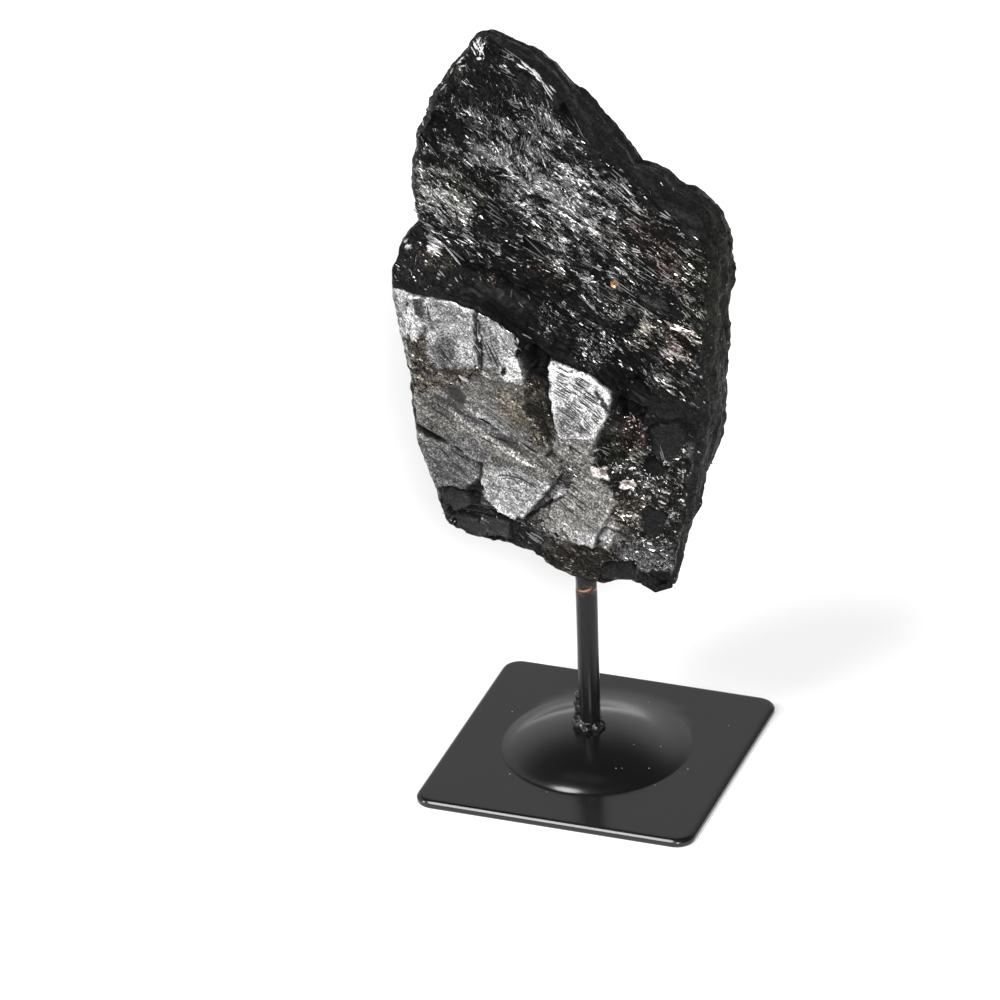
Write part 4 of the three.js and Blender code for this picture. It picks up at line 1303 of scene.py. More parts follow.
# Single blades, and sets of them, that stand out on the upper face.
FACE_STROKES = (
    Stroke(-25.6, 217.6, 3.6, 78, 0.50, 0.95, 5, 0.62),
    Stroke(-26.5, 217.0, 3.9, -40, 0.46, 0.90, 4, 0.70),
    Stroke(-24.8, 215.2, 1.6, 10, 0.90, 0.80),
    Stroke(-16.9, 217.2, 5.6, -23, 0.30, 0.45, 3, 0.7),
    Stroke(-30.8, 213.0, 2.2, 30, 0.46, 0.70, 4, 0.7),
    Stroke(-34.1, 210.2, 1.6, 45, 0.38, 0.55, 3),
    Stroke(-36.4, 206.0, 1.4, 40, 0.34, 0.45, 4, 1.1),
    Stroke(-12.2, 214.6, 5.8, -36, 0.50, 0.95, 4, 0.50),
    Stroke(-8.6, 212.4, 3.4, -44, 0.46, 0.85, 3, 0.55),
    Stroke(-5.2, 209.3, 4.8, -48, 0.42, 0.75, 3, 0.6),
    Stroke(-16.0, 211.8, 5.0, -22, 0.26, 0.25, 3, 0.9),
    Stroke(-9.5, 210.4, 4.0, -36, 0.26, 0.25, 2, 0.7),
    Stroke(-8.0, 206.6, 12.0, -36, 0.22, 0.07, 3, 1.9),
    Stroke(1.6, 198.6, 9.0, -40, 0.24, 0.20, 4, 1.3),
    Stroke(14.0, 184.6, 9.0, -30, 0.28, 0.30, 4, 1.2),
    Stroke(17.1, 175.5, 10.0, -28, 0.28, 0.34, 5, 1.3),
    Stroke(12.1, 165.3, 11.0, -29, 0.28, 0.30, 5, 1.5),
    Stroke(20.1, 158.7, 10.0, -29, 0.28, 0.34, 5, 1.4),
    Stroke(15.3, 149.0, 12.0, -27, 0.28, 0.30, 5, 1.4),
    Stroke(20.5, 143.5, 10.0, -29, 0.28, 0.34, 5, 1.3),
    Stroke(-22.0, 170.0, 9.0, -38, 0.28, 0.30, 5, 1.5),
    Stroke(-12.0, 160.0, 10.0, -34, 0.28, 0.26, 5, 1.4),
    Stroke(-4.0, 172.0, 9.0, -36, 0.28, 0.34, 5, 1.6),
    Stroke(-41.4, 164.8, 5.6, -20, 0.26, 0.50, 5, 0.62),
    Stroke(-37.4, 168.0, 4.0, -48, 0.36, 0.75, 5, 0.70),
    Stroke(16.8, 180.0, 9.0, -43, 0.38, 0.70, 6, 0.66),
    Stroke(26.4, 177.0, 4.0, -26, 0.34, 0.55, 4, 0.6),
    Stroke(30.8, 171.9, 3.0, -36, 0.36, 0.65, 3, 0.5),
    Stroke(18.2, 165.0, 2.7, -11, 0.40, 0.60, 2, 0.5),
    Stroke(22.6, 183.4, 6.0, -34, 0.24, 0.10, bend=0.8),
    Stroke(-17.8, 155.6, 4.4, -34, 0.55, 0.60, 2, 0.9),
    Stroke(-23.0, 159.0, 3.2, -42, 0.50, 0.55, 2),
    Stroke(-28.6, 161.6, 5.4, -36, 0.34, 0.42, 3, 0.9),
    Stroke(-6.0, 152.0, 4.6, -34, 0.34, 0.34, 3, 1.0),
    Stroke(6.0, 146.0, 4.0, -36, 0.30, 0.34, 2, 1.0),
    Stroke(26.0, 128.4, 3.0, -40, 0.34, 0.45, 2, 0.9),
)

# The same on the ledge and on its lip.
LEDGE_STROKES = (
    Stroke(-37.8, 158.9, 5.0, -28, 0.50, 0.90, 3, 0.45),
    Stroke(-32.4, 156.3, 5.6, -34, 0.46, 0.75, 2, 0.5),
    Stroke(-42.6, 155.3, 8.6, 89, 0.24, 0.32),
    Stroke(-45.0, 157.9, 1.4, -61, 0.40, 0.6, 2, 0.5),
    Stroke(-43.6, 152.0, 1.2, -62, 0.36, 0.5),
    Stroke(-35.8, 152.7, 2.6, -31, 0.36, 0.5, 3, 0.7),
    Stroke(-30.5, 152.0, 1.7, -42, 0.40, 0.6, 2, 0.7),
    Stroke(-32.4, 150.0, 1.2, -21, 0.40, 0.5, 2, 0.7),
    Stroke(-38.6, 149.2, 1.6, -10, 0.36, 0.4, 2, 0.6),
    Stroke(-25.4, 151.6, 2.2, -28, 0.40, 0.6),
    Stroke(-22.4, 150.6, 1.0, -28, 0.46, 0.6),
    Stroke(-17.3, 146.6, 2.4, -50, 0.36, 0.55),
    Stroke(-14.1, 144.2, 2.3, -37, 0.40, 0.6, 2, 0.5),
    Stroke(-11.4, 138.6, 2.7, -35, 0.36, 0.5, 2, 0.5),
    Stroke(-9.2, 138.9, 2.1, -45, 0.36, 0.5),
    Stroke(-10.3, 142.5, 2.0, -35, 0.34, 0.4),
    Stroke(1.6, 135.3, 2.4, -34, 0.34, 0.45, 2, 0.5),
)

# The same on the block's front; the dark ones are fine cracks, and painted shadow along the edges of steps.
BLOCK_STROKES = (
    Stroke(-26.6, 136.6, 11.0, -60, 0.30, 0.46, 6, 0.62),
    Stroke(-33.4, 137.4, 9.0, 30, 0.30, 0.42, 4, 0.62),
    Stroke(-34.4, 130.4, 5.0, -50, 0.34, 0.025, 3, 1.1),
    Stroke(-37.6, 143.0, 8.0, -84, 0.34, 0.01),
    Stroke(-15.6, 138.0, 7.4, -64, 0.30, 0.50, 6, 0.60),
    Stroke(-20.4, 134.0, 8.0, -68, 0.34, 0.035, 3, 1.0),
    Stroke(-13.0, 137.0, 2.6, -84, 0.52, 0.6),
    Stroke(-29.2, 124.2, 3.4, -36, 0.92, 0.65),
    Stroke(-0.4, 129.8, 4.4, -26, 0.24, 0.05, 6, 0.7),
    Stroke(4.6, 128.2, 5.4, -30, 0.24, 0.04, 7, 0.6),
    Stroke(0.6, 125.0, 5.0, -30, 0.24, 0.06, 6, 0.7),
    Stroke(6.6, 123.6, 5.6, -36, 0.24, 0.03, 8, 0.6),
    Stroke(2.6, 119.6, 5.6, -38, 0.24, 0.06, 8, 0.65),
    Stroke(9.0, 118.4, 4.6, -44, 0.24, 0.04, 6, 0.6),
    Stroke(5.2, 114.4, 4.6, -46, 0.24, 0.06, 7, 0.7),
    Stroke(0.2, 114.6, 3.6, -50, 0.24, 0.08, 5),
    Stroke(-23.2, 110.8, 12.6, -30, 0.54, 0.002, bend=0.5),
    Stroke(-19.0, 113.0, 13.0, -31, 0.32, 0.3, 2, 1.3, bend=0.4),
    Stroke(-21.0, 105.6, 8.4, -28, 0.38, 0.005, 2, 1.6),
    Stroke(-11.4, 106.4, 5.2, -30, 0.38, 0.006, 2, 1.3),
    Stroke(-34.0, 112.0, 9.0, -30, 0.34, 0.006, 2, 2.0),
    Stroke(-38.4, 105.6, 7.4, -14, 0.38, 0.3),
    Stroke(-31.0, 99.0, 8.0, -34, 0.36, 0.01, 3, 2.2),
    Stroke(-13.6, 90.8, 15.0, -22, 0.32, 0.03, 3, 2.0, bend=1.6),
    Stroke(-17.0, 86.0, 8.0, -38, 0.32, 0.45, 3, 1.1, bend=0.6),
    Stroke(-26.4, 78.4, 18.0, -13, 0.44, 0.025, 4, 1.7, bend=0.3),
    Stroke(-29.4, 72.8, 10.0, -12, 0.48, 0.04, 2, 1.2),
    Stroke(-20.0, 79.4, 3.0, -14, 0.38, 0.45, 2, 0.7),
    Stroke(-12.6, 74.0, 4.0, -30, 0.42, 0.3, 3),
    Stroke(2.0, 88.0, 8.0, -40, 0.34, 0.02, 3, 2.4),
    Stroke(4.0, 82.0, 6.0, -36, 0.32, 0.38, 3, 1.6),
    Stroke(15.4, 92.0, 1.8, 10, 1.02, 0.6, tint=Tint.ROSE),
    Stroke(24.8, 90.6, 2.0, -20, 0.92, 0.6, tint=Tint.ROSE),
    Stroke(20.6, 77.2, 3.0, -12, 1.12, 0.65),
    Stroke(31.0, 107.2, 1.2, 30, 0.92, 0.7),
    Stroke(20.0, 112.0, 2.0, -10, 0.72, 0.65),
    Stroke(24.6, 105.0, 5.0, -70, 0.36, 0.25, 2, 1.0),
    Stroke(18.0, 104.0, 3.0, -40, 0.38, 0.4, 3, 0.9, tint=Tint.OLIVE),
    Stroke(9.6, 104.6, 4.0, -50, 0.36, 0.4, 3, 0.9),
)


class Zone(Enum):
    """Parts of the stone's skin, with the marks that each is painted with."""

    BLOCK = BLOCK_MARKS
    LEDGE = LEDGE_MARKS
    FACE = FACE_MARKS
    SIDE = SIDE_MARKS
    BACK = BACK_MARKS


def soften(values: Array, passes: int) -> Array:
    """Evens out a sheet: each value becomes the mean of itself and its four neighbours.

    Args:
        values: numbers in rows and columns.
        passes: how many times over.

    Returns:
        The new numbers.
    """
    for _ in range(passes):
        wide = np.pad(values, 1, mode="edge")
        around = wide[:-2, 1:-1] + wide[2:, 1:-1] + wide[1:-1, :-2] + wide[1:-1, 2:]
        values = (values + around) / 5.0
    return values


@dataclass
class Coat:
    """The finish at some points: silver, glitter, polish, steep and the three parts of the tint."""

    values: Array

    @property
    def silver(self) -> Array:
        """Middle reflectance of a face."""
        return self.values[..., 0]

    @property
    def glitter(self) -> Array:
        """Share of bright grains."""
        return self.values[..., 1]

    @property
    def tint(self) -> Array:
        """Tint of the bright grains."""
        return self.values[..., 4:]

    @classmethod
    def painted(cls, marks: Sequence[Mark], x: Array, z: Array) -> "Coat":
        """Paints marks over each other, with borders that wander.

        Args:
            marks: the marks, in order.
            x: the points' x.
            z: the points' z.

        Returns:
            The coat at the points.
        """
        bend_x = wander(x, z, ((1.1, 1.3, 41), (1.3, 3.6, 43)))
        bend_z = wander(x, z, ((1.1, 1.3, 42), (1.3, 3.6, 44)))
        values = np.ones((*x.shape, 7))
        for mark in marks:
            look = np.array([mark.silver, mark.glitter, mark.polish, mark.steep, *mark.tint.value])
            outside = mark.shape.outside(x + mark.loose * bend_x, z + mark.loose * bend_z)
            values += smoothstep(mark.edge, -0.2 * mark.edge, outside)[..., None] * (look - values)
        return cls(values)

    def worn(self, hollow: Array) -> "Coat":
        """The coat with painted shade darkening its hollows and painted highlights brightening its raised
        edges.

        Silver, then glitter, is multiplied by 1 less its loss times the hollow's step from 0 to 1, which is
        the painted shade, and by 1 plus its gain times the edge's step, which is the painted highlight.

        Args:
            hollow: how far each point lies under its surroundings, in millimetres.

        Returns:
            The same coat, changed.
        """
        painted_shade_losses, painted_highlight_gains = (0.85, 0.6), (0.45, 0.3)
        # Painted shade: the deeper a point lies under its surroundings, the darker it is.
        dull = smoothstep(0.04, 0.45, hollow)
        # Painted highlight: the higher a point stands over its surroundings, the brighter it is.
        edge = smoothstep(0.05, 0.35, -hollow)
        for column, (loss, gain) in enumerate(zip(painted_shade_losses, painted_highlight_gains)):
            self.values[..., column] *= (1.0 - loss * dull) * (1.0 + gain * edge)
        return self

    def numbers(self, shine: Array) -> dict[str, Array]:
        """The values by name, for a mesh, with the shine of single blades."""
        names = ("silver", "glitter", "polish", "steep")
        return {**{name: self.values[:, column] for column, name in enumerate(names)}, "shine": shine}

    @classmethod
    def joined(cls, coats: Sequence["Coat"]) -> "Coat":
        """Coats of several sets of points, one after the other."""
        return cls(np.concatenate([coat.values.reshape(-1, 7) for coat in coats]))

    @classmethod
    def of_blades(cls, count: int) -> "Coat":
        """The coat of points that have nothing but the shine of a blade."""
        return cls(np.tile([0.0, 0.0, 0.0, 0.0, 1.0, 1.0, 1.0], (count, 1)))


def ring_of(sheet: NDArray) -> NDArray:
    """The border of a sheet: along the foot, up the right, back over the top and down the left."""
    return np.concatenate([sheet[0, :-1], sheet[:-1, -1], sheet[-1, :0:-1], sheet[:0:-1, 0]])


def every_second_share(line: Array) -> Array:
    """Shares of the length at every second point of a line."""
    lengths = running_length(line)
    return lengths[::2] / lengths[-1]


@dataclass
class Tourmaline:
    """The stone's skin: a front of three sheets, sides of rings and a back of one sheet."""

    lines: StoneLines = StoneLines()
    columns: int = 200
    rows_block: int = 150
    rows_ledge: int = 20
    rows_face: int = 150
    fibre_turn: float = -32.0
    steep_turn: float = -56.0
    # Size of the coarse ridges, and what is added to it low on the right, where x and z go over.
    roughness: float = 1.5
    low_right_roughness: float = 1.6
    low_right: Sequence[tuple[float, float]] = ((2.0, 16.0), (122.0, 108.0))
    facet_edge: float = 0.9
    facet_calm: float = 0.85
    dent_power: float = 0.7
    side_bulge: float = 1.2
    back_bulge: float = 5.5
    back_power: float = 0.6
    back_fade: float = 0.06
    side_depth: float = 20.0
    # Shares of the depth over which a side's relief fades in and out, and the power of the fading.
    side_fade: tuple[float, float, float] = (0.12, 0.15, 0.8)
    front_passes: int = 14
    back_passes: int = 8
    near_shares: Sequence[float] = (0.03, 0.07, 0.12, 0.17, 0.23, 0.30)
    far_shares: Sequence[float] = (0.38, 0.46, 0.54, 0.62, 0.70, 0.78, 0.86, 0.93)
    # Sets of ridges: height, cell length and cell width.
    coarse_ridges: Sequence[tuple[float, float, float]] = ((1.0, 17.0, 6.5),)
    fine_ridges: Sequence[tuple[float, float, float]] = ((0.75, 7.0, 2.3), (0.34, 2.9, 0.95))
    ledge_ridges: Sequence[tuple[float, float, float]] = ((1.6, 14.0, 3.5), (0.6, 4.0, 1.1))
    back_ridges: Sequence[tuple[float, float, float]] = (
        (3.0, 26.0, 12.0), (1.3, 9.0, 3.4), (0.45, 4.0, 1.3),
    )
    # The same for the sides, after a shift along the rim and shares of z and x in the depth.
    side_ridges: Sequence[tuple[float, ...]] = (
        (0.0, 0.10, 0.06, 1.9, 19.0, 6.0), (5.0, 0.22, -0.1, 0.8, 9.0, 2.9),
        (0.0, -0.16, 0.0, 0.3, 4.0, 1.4),
    )
    flat_below: float = 0.06
    sheets: dict[Zone, Array] = field(init=False, default_factory=dict)
    coats: dict[Zone, Coat] = field(init=False, default_factory=dict)

    def front_depth(self, sheet: Array) -> Array:
        """Depth y over a sheet of the front.

        Coarse ridges along the fibres stand out from the sheet's own depth, then finer sets. Where
        a facet or a slab is, the depth goes over to its plane. Each dent then adds its depth times
        1 - reach^2 to the power 0.7.

        Args:
            sheet: points in rows and columns.

        Returns:
            The new y of each point.
        """
        x, z = sheet[..., 0], sheet[..., 2]
        s, t = turned(x, z, self.fibre_turn)
        over_x, over_z = self.low_right
        more = self.low_right_roughness * smoothstep(*over_x, x) * smoothstep(*over_z, z)
        rough = self.roughness + more
        depth = sheet[..., 1] - rough * ridged(s, t, self.coarse_ridges)
        fine = ridged(s, t + wander(s, t, ((1.6, 8.0, 51),)), self.fine_ridges)
        edge_x, edge_z = x + wander(x, z, ((0.9, 1.9, 61),)), z + wander(x, z, ((0.9, 1.9, 62),))
        planes = [(facet.ring, facet.depth(x, z)) for facet in FACETS]
        planes += [(slab.ring, slab.plane(sheet)) for slab in SLABS]
        inside = np.zeros(x.shape)
        for ring, plane in planes:
            if plane is not None:
                share = smoothstep(self.facet_edge, 0.0, ring.outside(edge_x, edge_z))
                depth += share * (plane - depth)
                inside = np.maximum(inside, share)
        depth -= fine * (1.0 - self.facet_calm * inside)
        for oval, deep in DENTS:
            depth += deep * np.maximum(0.0, 1.0 - oval.reach(x, z) ** 2) ** self.dent_power
        return depth

    def front_sheets(self) -> list[Array]:
        """The block's front, the ledge and the upper face, each sharing its border with the next.

        Returns:
            The three sheets, from the foot up.
        """
        lines = self.lines
        across = np.linspace(0.0, 1.0, self.columns + 1)
        levels = [points_at(line, across) for line in (lines.bottom, lines.lip, lines.crease, lines.top)]
        sides = (
            (self.rows_block, lines.left_low, lines.right_low),
            (self.rows_ledge, lines.left_ledge, lines.right_ledge),
            (self.rows_face, lines.left_high, lines.right_high),
        )
        sheets = []
        for low, high, (rows, left, right) in zip(levels, levels[1:], sides):
            up = np.linspace(0.0, 1.0, rows + 1)
            sheets.append(stretch_sheet(low, high, points_at(left, up), points_at(right, up)))
        block, ledge, face = sheets
        for sheet in (block, face):
            sheet[1:-1, 1:-1, 1] = self.front_depth(sheet)[1:-1, 1:-1]
        x, y = ledge[1:-1, 1:-1, 0], ledge[1:-1, 1:-1, 1]
        ledge[1:-1, 1:-1, 2] += ridged(x, y, self.ledge_ridges)
        return sheets

    @staticmethod
    def jagged(sheet: Array) -> Array:
        """Shifts points a little in x and z, by unevenness that depends on their place alone.

        Args:
            sheet: points in rows and columns.

        Returns:
            The shifted points.
        """
        x, z = sheet[..., 0], sheet[..., 2]
        shifted = sheet.copy()
        shifted[..., 0] += wander(x, z, ((0.7, 1.3, 31), (0.9, 4.3, 33)))
        shifted[..., 2] += wander(x, z, ((0.7, 1.3, 32), (0.9, 4.3, 34)))
        return shifted

    def back_sheet(self, front: Array) -> Array:
        """The back: a stretched sheet, swollen by a bulge times a dome to the power 0.6, and ridged.

        Args:
            front: the whole front; the back's lines have a point at every second one of its rim's.

        Returns:
            Points in rows and columns.
        """
        lines = self.lines
        sheet = stretch_sheet(
            points_at(lines.back_bottom, every_second_share(front[0])),
            points_at(lines.back_top, every_second_share(front[-1])),
            points_at(lines.back_left, every_second_share(front[:, 0])),
            points_at(lines.back_right, every_second_share(front[:, -1])),
        )
        u = np.linspace(0.0, 1.0, sheet.shape[1])[None]
        v = np.linspace(0.0, 1.0, sheet.shape[0])[:, None]
        swell = np.maximum(0.0, 16.0 * u * (1.0 - u) * v * (1.0 - v))
        s, t = turned(sheet[..., 0], sheet[..., 2], -self.fibre_turn)
        steps = ridged(s, t, self.back_ridges)
        bulge = self.back_bulge * swell ** self.back_power
        bulge = bulge + steps * smoothstep(0.0, self.back_fade, swell)
        sheet[1:-1, 1:-1, 1] += bulge[1:-1, 1:-1]
        return sheet

    def side_ring(self, front: Array, back: Array, smooth_front: Array, share: float) -> Array:
        """A ring of points part of the way from the front's rim to the back's.

        It is pushed outwards by the bulge and by three sets of shingles that run along the rim.

        Args:
            front: the front's rim.
            back: the back's rim, of as many points.
            smooth_front: the front's rim before it was made jagged.
            share: how far back the ring is, from 0 to 1.

        Returns:
            The ring's points.
        """
        reach = max(2, len(front) // 130)
        ahead = np.roll(smooth_front, -reach, axis=0) - np.roll(smooth_front, reach, axis=0)
        outward = np.stack([ahead[:, 2], np.zeros(len(ahead)), -ahead[:, 0]], axis=1)
        outward /= np.linalg.norm(outward, axis=1, keepdims=True)
        x, z = smooth_front[:, 0], smooth_front[:, 2]
        along, deep = z - x, self.side_depth * share
        push = self.side_bulge + sum(
            ridged(along + shift, deep + of_z * z + of_x * x, (ridges,))
            for shift, of_z, of_x, *ridges in self.side_ridges
        )
        fade_in, fade_out, power = self.side_fade
        window = min(1.0, share / fade_in, (1.0 - share) / fade_out) ** power
        return front * (1.0 - share) + back * share + outward * (push * window)[:, None]

    def skin(self) -> Surface:
        """The whole closed skin, with its coat.

        The front's rim has twice the points of the back's, so fans of three triangles join the last
        of the near rings to the first of the far ones.

        Returns:
            The surface.
        """
        block, ledge, face = self.front_sheets()
        plain = np.concatenate([block[:-1], ledge[:-1], face])
        front, back = self.jagged(plain), self.jagged(self.back_sheet(plain))
        rim, plain_rim, back_rim = ring_of(front), ring_of(plain), ring_of(back)
        between = 0.5 * (back_rim + np.roll(back_rim, -1, axis=0))
        doubled = np.stack([back_rim, between], axis=1).reshape(-1, 3)
        near = [self.side_ring(rim, doubled, plain_rim, share) for share in self.near_shares]
        far = [self.side_ring(rim[::2], back_rim, plain_rim[::2], share) for share in self.far_shares]

        counts = (front[..., 0].size, len(near) * len(rim), len(far) * len(back_rim), back[..., 0].size)
        starts = np.cumsum((0, *counts))
        front_index = np.arange(counts[0]).reshape(front.shape[:2])
        near_index = starts[1] + np.arange(counts[1]).reshape(len(near), -1)
        far_index = starts[2] + np.arange(counts[2]).reshape(len(far), -1)
        back_index = starts[3] + np.arange(counts[3]).reshape(back.shape[:2])
        near_rings, far_rings = [ring_of(front_index), *near_index], [*far_index, ring_of(back_index)]
        bands = [*zip(near_rings, near_rings[1:]), *zip(far_rings, far_rings[1:])]
        quads = [grid_quads(front_index), grid_quads(back_index.T)]
        quads += [
            np.stack([ring, behind, np.roll(behind, -1), np.roll(ring, -1)], axis=1)
            for ring, behind in bands
        ]
        first, centre = near_index[-1][::2], near_index[-1][1::2]
        last, post, ahead = np.roll(first, -1), far_index[0], np.roll(far_index[0], -1)
        fans = ((first, post, centre), (centre, post, ahead), (centre, ahead, last))
        triangles = np.concatenate([np.stack(fan, axis=1) for fan in fans])

        side = np.stack([rim[::2], *[ring[::2] for ring in near], *far, back_rim])
        self.paint(front, side, back)
        rings = np.concatenate([*near, *far])
        coat = Coat.joined([
            Coat(self.coats[Zone.BLOCK].values[:-1]),
            Coat(self.coats[Zone.LEDGE].values[:-1]),
            self.coats[Zone.FACE],
            Coat.painted(SIDE_MARKS, rings[:, 0], rings[:, 2]),
            self.coats[Zone.BACK],
        ])
        points = np.concatenate([front.reshape(-1, 3), rings, back.reshape(-1, 3)])
        everything = np.concatenate(quads)
        flat = coat.silver[everything[:, 0]] < self.flat_below
        return Surface(
            "tourmaline_skin", points, everything, triangles,
            np.concatenate([flat, np.ones(len(triangles), bool)]),
            coat.numbers(np.zeros(len(points))), {"tint": coat.tint},
        )

    def paint(self, front: Array, side: Array, back: Array) -> None:
        """Keeps each zone's sheet and coat; a sheet's rows and columns turn rightwards from outside.

        Args:
            front: the whole front.
            side: the sides, a ring in each row.
            back: the back.
        """
        starts = (0, self.rows_block, self.rows_block + self.rows_ledge)
        counts = (self.rows_block, self.rows_ledge, self.rows_face)
        hollow = front[..., 1] - soften(front[..., 1], self.front_passes)
        smooth = [slab.mark() for slab in SLABS]
        for zone, start, count in zip((Zone.BLOCK, Zone.LEDGE, Zone.FACE), starts, counts):
            rows = slice(start, start + count + 1)
            self.sheets[zone] = front[rows]
            marks = zone.value if zone is Zone.LEDGE else (*zone.value, *smooth)
            coat = Coat.painted(marks, front[rows, :, 0], front[rows, :, 2])
            # Every front zone but the ledge gets painted shade in its hollows and painted highlight on its
            # raised edges.
            self.coats[zone] = coat if zone is Zone.LEDGE else coat.worn(hollow[rows])
        self.sheets[Zone.SIDE], self.sheets[Zone.BACK] = side[:, ::-1], back
        self.coats[Zone.SIDE] = Coat.painted(SIDE_MARKS, side[:, ::-1, 0], side[:, ::-1, 2])
        # The back also gets painted shade in its hollows and painted highlight on its raised edges.
        back_hollow = soften(back[..., 1], self.back_passes) - back[..., 1]
        self.coats[Zone.BACK] = Coat.painted(BACK_MARKS, back[..., 0], back[..., 2]).worn(back_hollow)


@dataclass
class Blades:
    """Small roof-shaped blades of crystal that lie on one zone of the stone, half sunk in it."""

    name: str
    zone: Zone
    count: int
    length: tuple[float, float]
    width: tuple[float, float]
    spread: float
    seed: int
    bundle: int = 1
    gap: float = 0.34
    rise: tuple[float, float] = (0.25, 0.75)
    least_glitter: float = 0.05
    most_silver: float = 0.12
    facing: tuple[float, float, float] = (0.0, -1.2, 0.0)
    lean: float = 0.25
    margin: float = 3.0
    tries: int = 7
    dimmest: float = 0.011
    contrast: float = 80.0
    patchy: tuple[float, float] = (0.30, 0.68)
    # Where x and z go over to steeper blades, and how much steeper they are, in radians.
    steeper: Sequence[tuple[float, float]] = ((14.0, -10.0), (166.0, 190.0))
    steepening: float = 0.42

    def spots(self, stone: Tourmaline, rng: np.random.Generator) -> tuple[Array, Array, Coat]:
        """Chance places on the zone, more of them where it glitters more.

        Args:
            stone: the stone, whose skin is made already.
            rng: the source of chance.

        Returns:
            The places, the outward directions there, and the coat there.
        """
        sheet, coat = stone.sheets[self.zone], stone.coats[self.zone]
        rows, columns = sheet.shape[0] - 1, sheet.shape[1] - 1
        tries = self.count * self.tries
        row = rng.uniform(self.margin, rows - self.margin, tries)
        column = rng.uniform(self.margin, columns - self.margin, tries)
        j, i = row.astype(int), column.astype(int)
        corner = sheet[j, i]
        side, up = sheet[j, i + 1] - corner, sheet[j + 1, i] - corner
        outward = np.cross(side, up)
        area = np.linalg.norm(outward, axis=1)
        glitter, silver = coat.glitter[j, i], coat.silver[j, i]
        wanted = rng.random(tries) * np.quantile(area, 0.98) < area * (0.10 + 0.90 * glitter)
        wanted &= (glitter > self.least_glitter) & (silver < self.most_silver)
        kept = np.flatnonzero(wanted)[: self.count]
        i, j = i[kept], j[kept]
        place = corner[kept] + side[kept] * (column[kept] - i)[:, None]
        place = place + up[kept] * (row[kept] - j)[:, None]
        if self.zone is Zone.BACK:
            outward = -outward
        return place, outward[kept] / area[kept, None], Coat(coat.values[j, i])

    def axes(self, stone: Tourmaline, place: Array, outward: Array, rng: np.random.Generator) -> Array:
        """The blades' long directions: the fibres', steeper high on the left, and wandering.

        Args:
            stone: the stone.
            place: the blades' places.
            outward: the direction that each blade's ridge points in.
            rng: the source of chance.

        Returns:
            One direction a row, square to the outward one.
        """
        x, z = place[:, 0], place[:, 2]
        over_x, over_z = self.steeper
        steeper = smoothstep(*over_x, x) * smoothstep(*over_z, z)
        turn = np.radians(stone.fibre_turn) - self.steepening * steeper
        turn = turn + (0.5 + 0.9 * steeper) * wander(x, z, ((1.0, 6.5, 71),))
        swing = (0.3 + 1.1 * steeper) * wander(x, z, ((1.0, 2.4, 72),))
        turn += swing + rng.normal(0.0, self.spread, len(place))
        axis = np.stack([np.cos(turn), np.zeros(len(turn)), np.sin(turn)], axis=1)
        axis -= outward * np.sum(axis * outward, axis=1, keepdims=True)
        return axis / np.maximum(np.linalg.norm(axis, axis=1, keepdims=True), 1e-6)

    def shine(self, stone: Tourmaline, place: Array, glitter: Array, rng: np.random.Generator) -> Array:
        """How bright each blade is: many are black, and bright ones keep together in patches.

        A lit blade's reflectance is the dimmest times the contrast to the power of a number from 0 to 1.

        Args:
            stone: the stone.
            place: the blades' places.
            glitter: the glitter there.
            rng: the source of chance.

        Returns:
            A reflectance for each blade.
        """
        s, t = turned(place[:, 0], place[:, 2], stone.fibre_turn)
        patch = 0.40 * waves(s / 4.5, t, 1.1, 73) + 0.25 * waves(s / 3.0, t, 0.6, 74)
        patch = patch + 0.35 * waves(s, t, 4.5, 75)
        close = smoothstep(*self.patchy, patch)
        lit = rng.random(len(place)) < glitter * (0.12 + 0.83 * close)
        strong = self.dimmest * self.contrast ** (rng.random(len(place)) * 0.70 + 0.30 * close)
        return np.where(lit, strong, 0.006 * rng.random(len(place)) ** 2)

    def surface(self, stone: Tourmaline) -> Surface:
        """All blades as one surface.

        Each has four base corners and two ridge ends: its long axis lies in the face, and its ridge
        leans to one side. In a bundle, blades of nearly the same look lie side by side.

        Args:
            stone: the stone, whose skin is made already.

        Returns:
            The surface.
        """
        rng = np.random.default_rng(self.seed)
        place, outward, coat = self.spots(stone, rng)
        outward = outward + np.array(self.facing) + rng.normal(0.0, self.lean, outward.shape)
        outward /= np.linalg.norm(outward, axis=1, keepdims=True)
        axis = self.axes(stone, place, outward, rng)
        shine = self.shine(stone, place, coat.glitter, rng)
        step = np.tile(np.arange(self.bundle) - 0.5 * (self.bundle - 1), len(place))
        each = (place, outward, axis, coat.tint, shine)
        place, outward, axis, tint, shine = (np.repeat(rows, self.bundle, axis=0) for rows in each)
        count = len(place)
        across = np.cross(outward, axis)
        if self.bundle > 1:
            shine = shine * rng.uniform(0.4, 1.3, count)
            shift = across * (step * self.gap * rng.uniform(0.85, 1.15, count))[:, None]
            place = place + shift + axis * rng.normal(0.0, 0.3, (count, 1))

        def between(limits: tuple[float, float], power: float = 1.0) -> Array:
            """Chance sizes from the lower limit up, mostly small for a high power."""
            return (limits[0] + (limits[1] - limits[0]) * rng.random(count) ** power)[:, None]

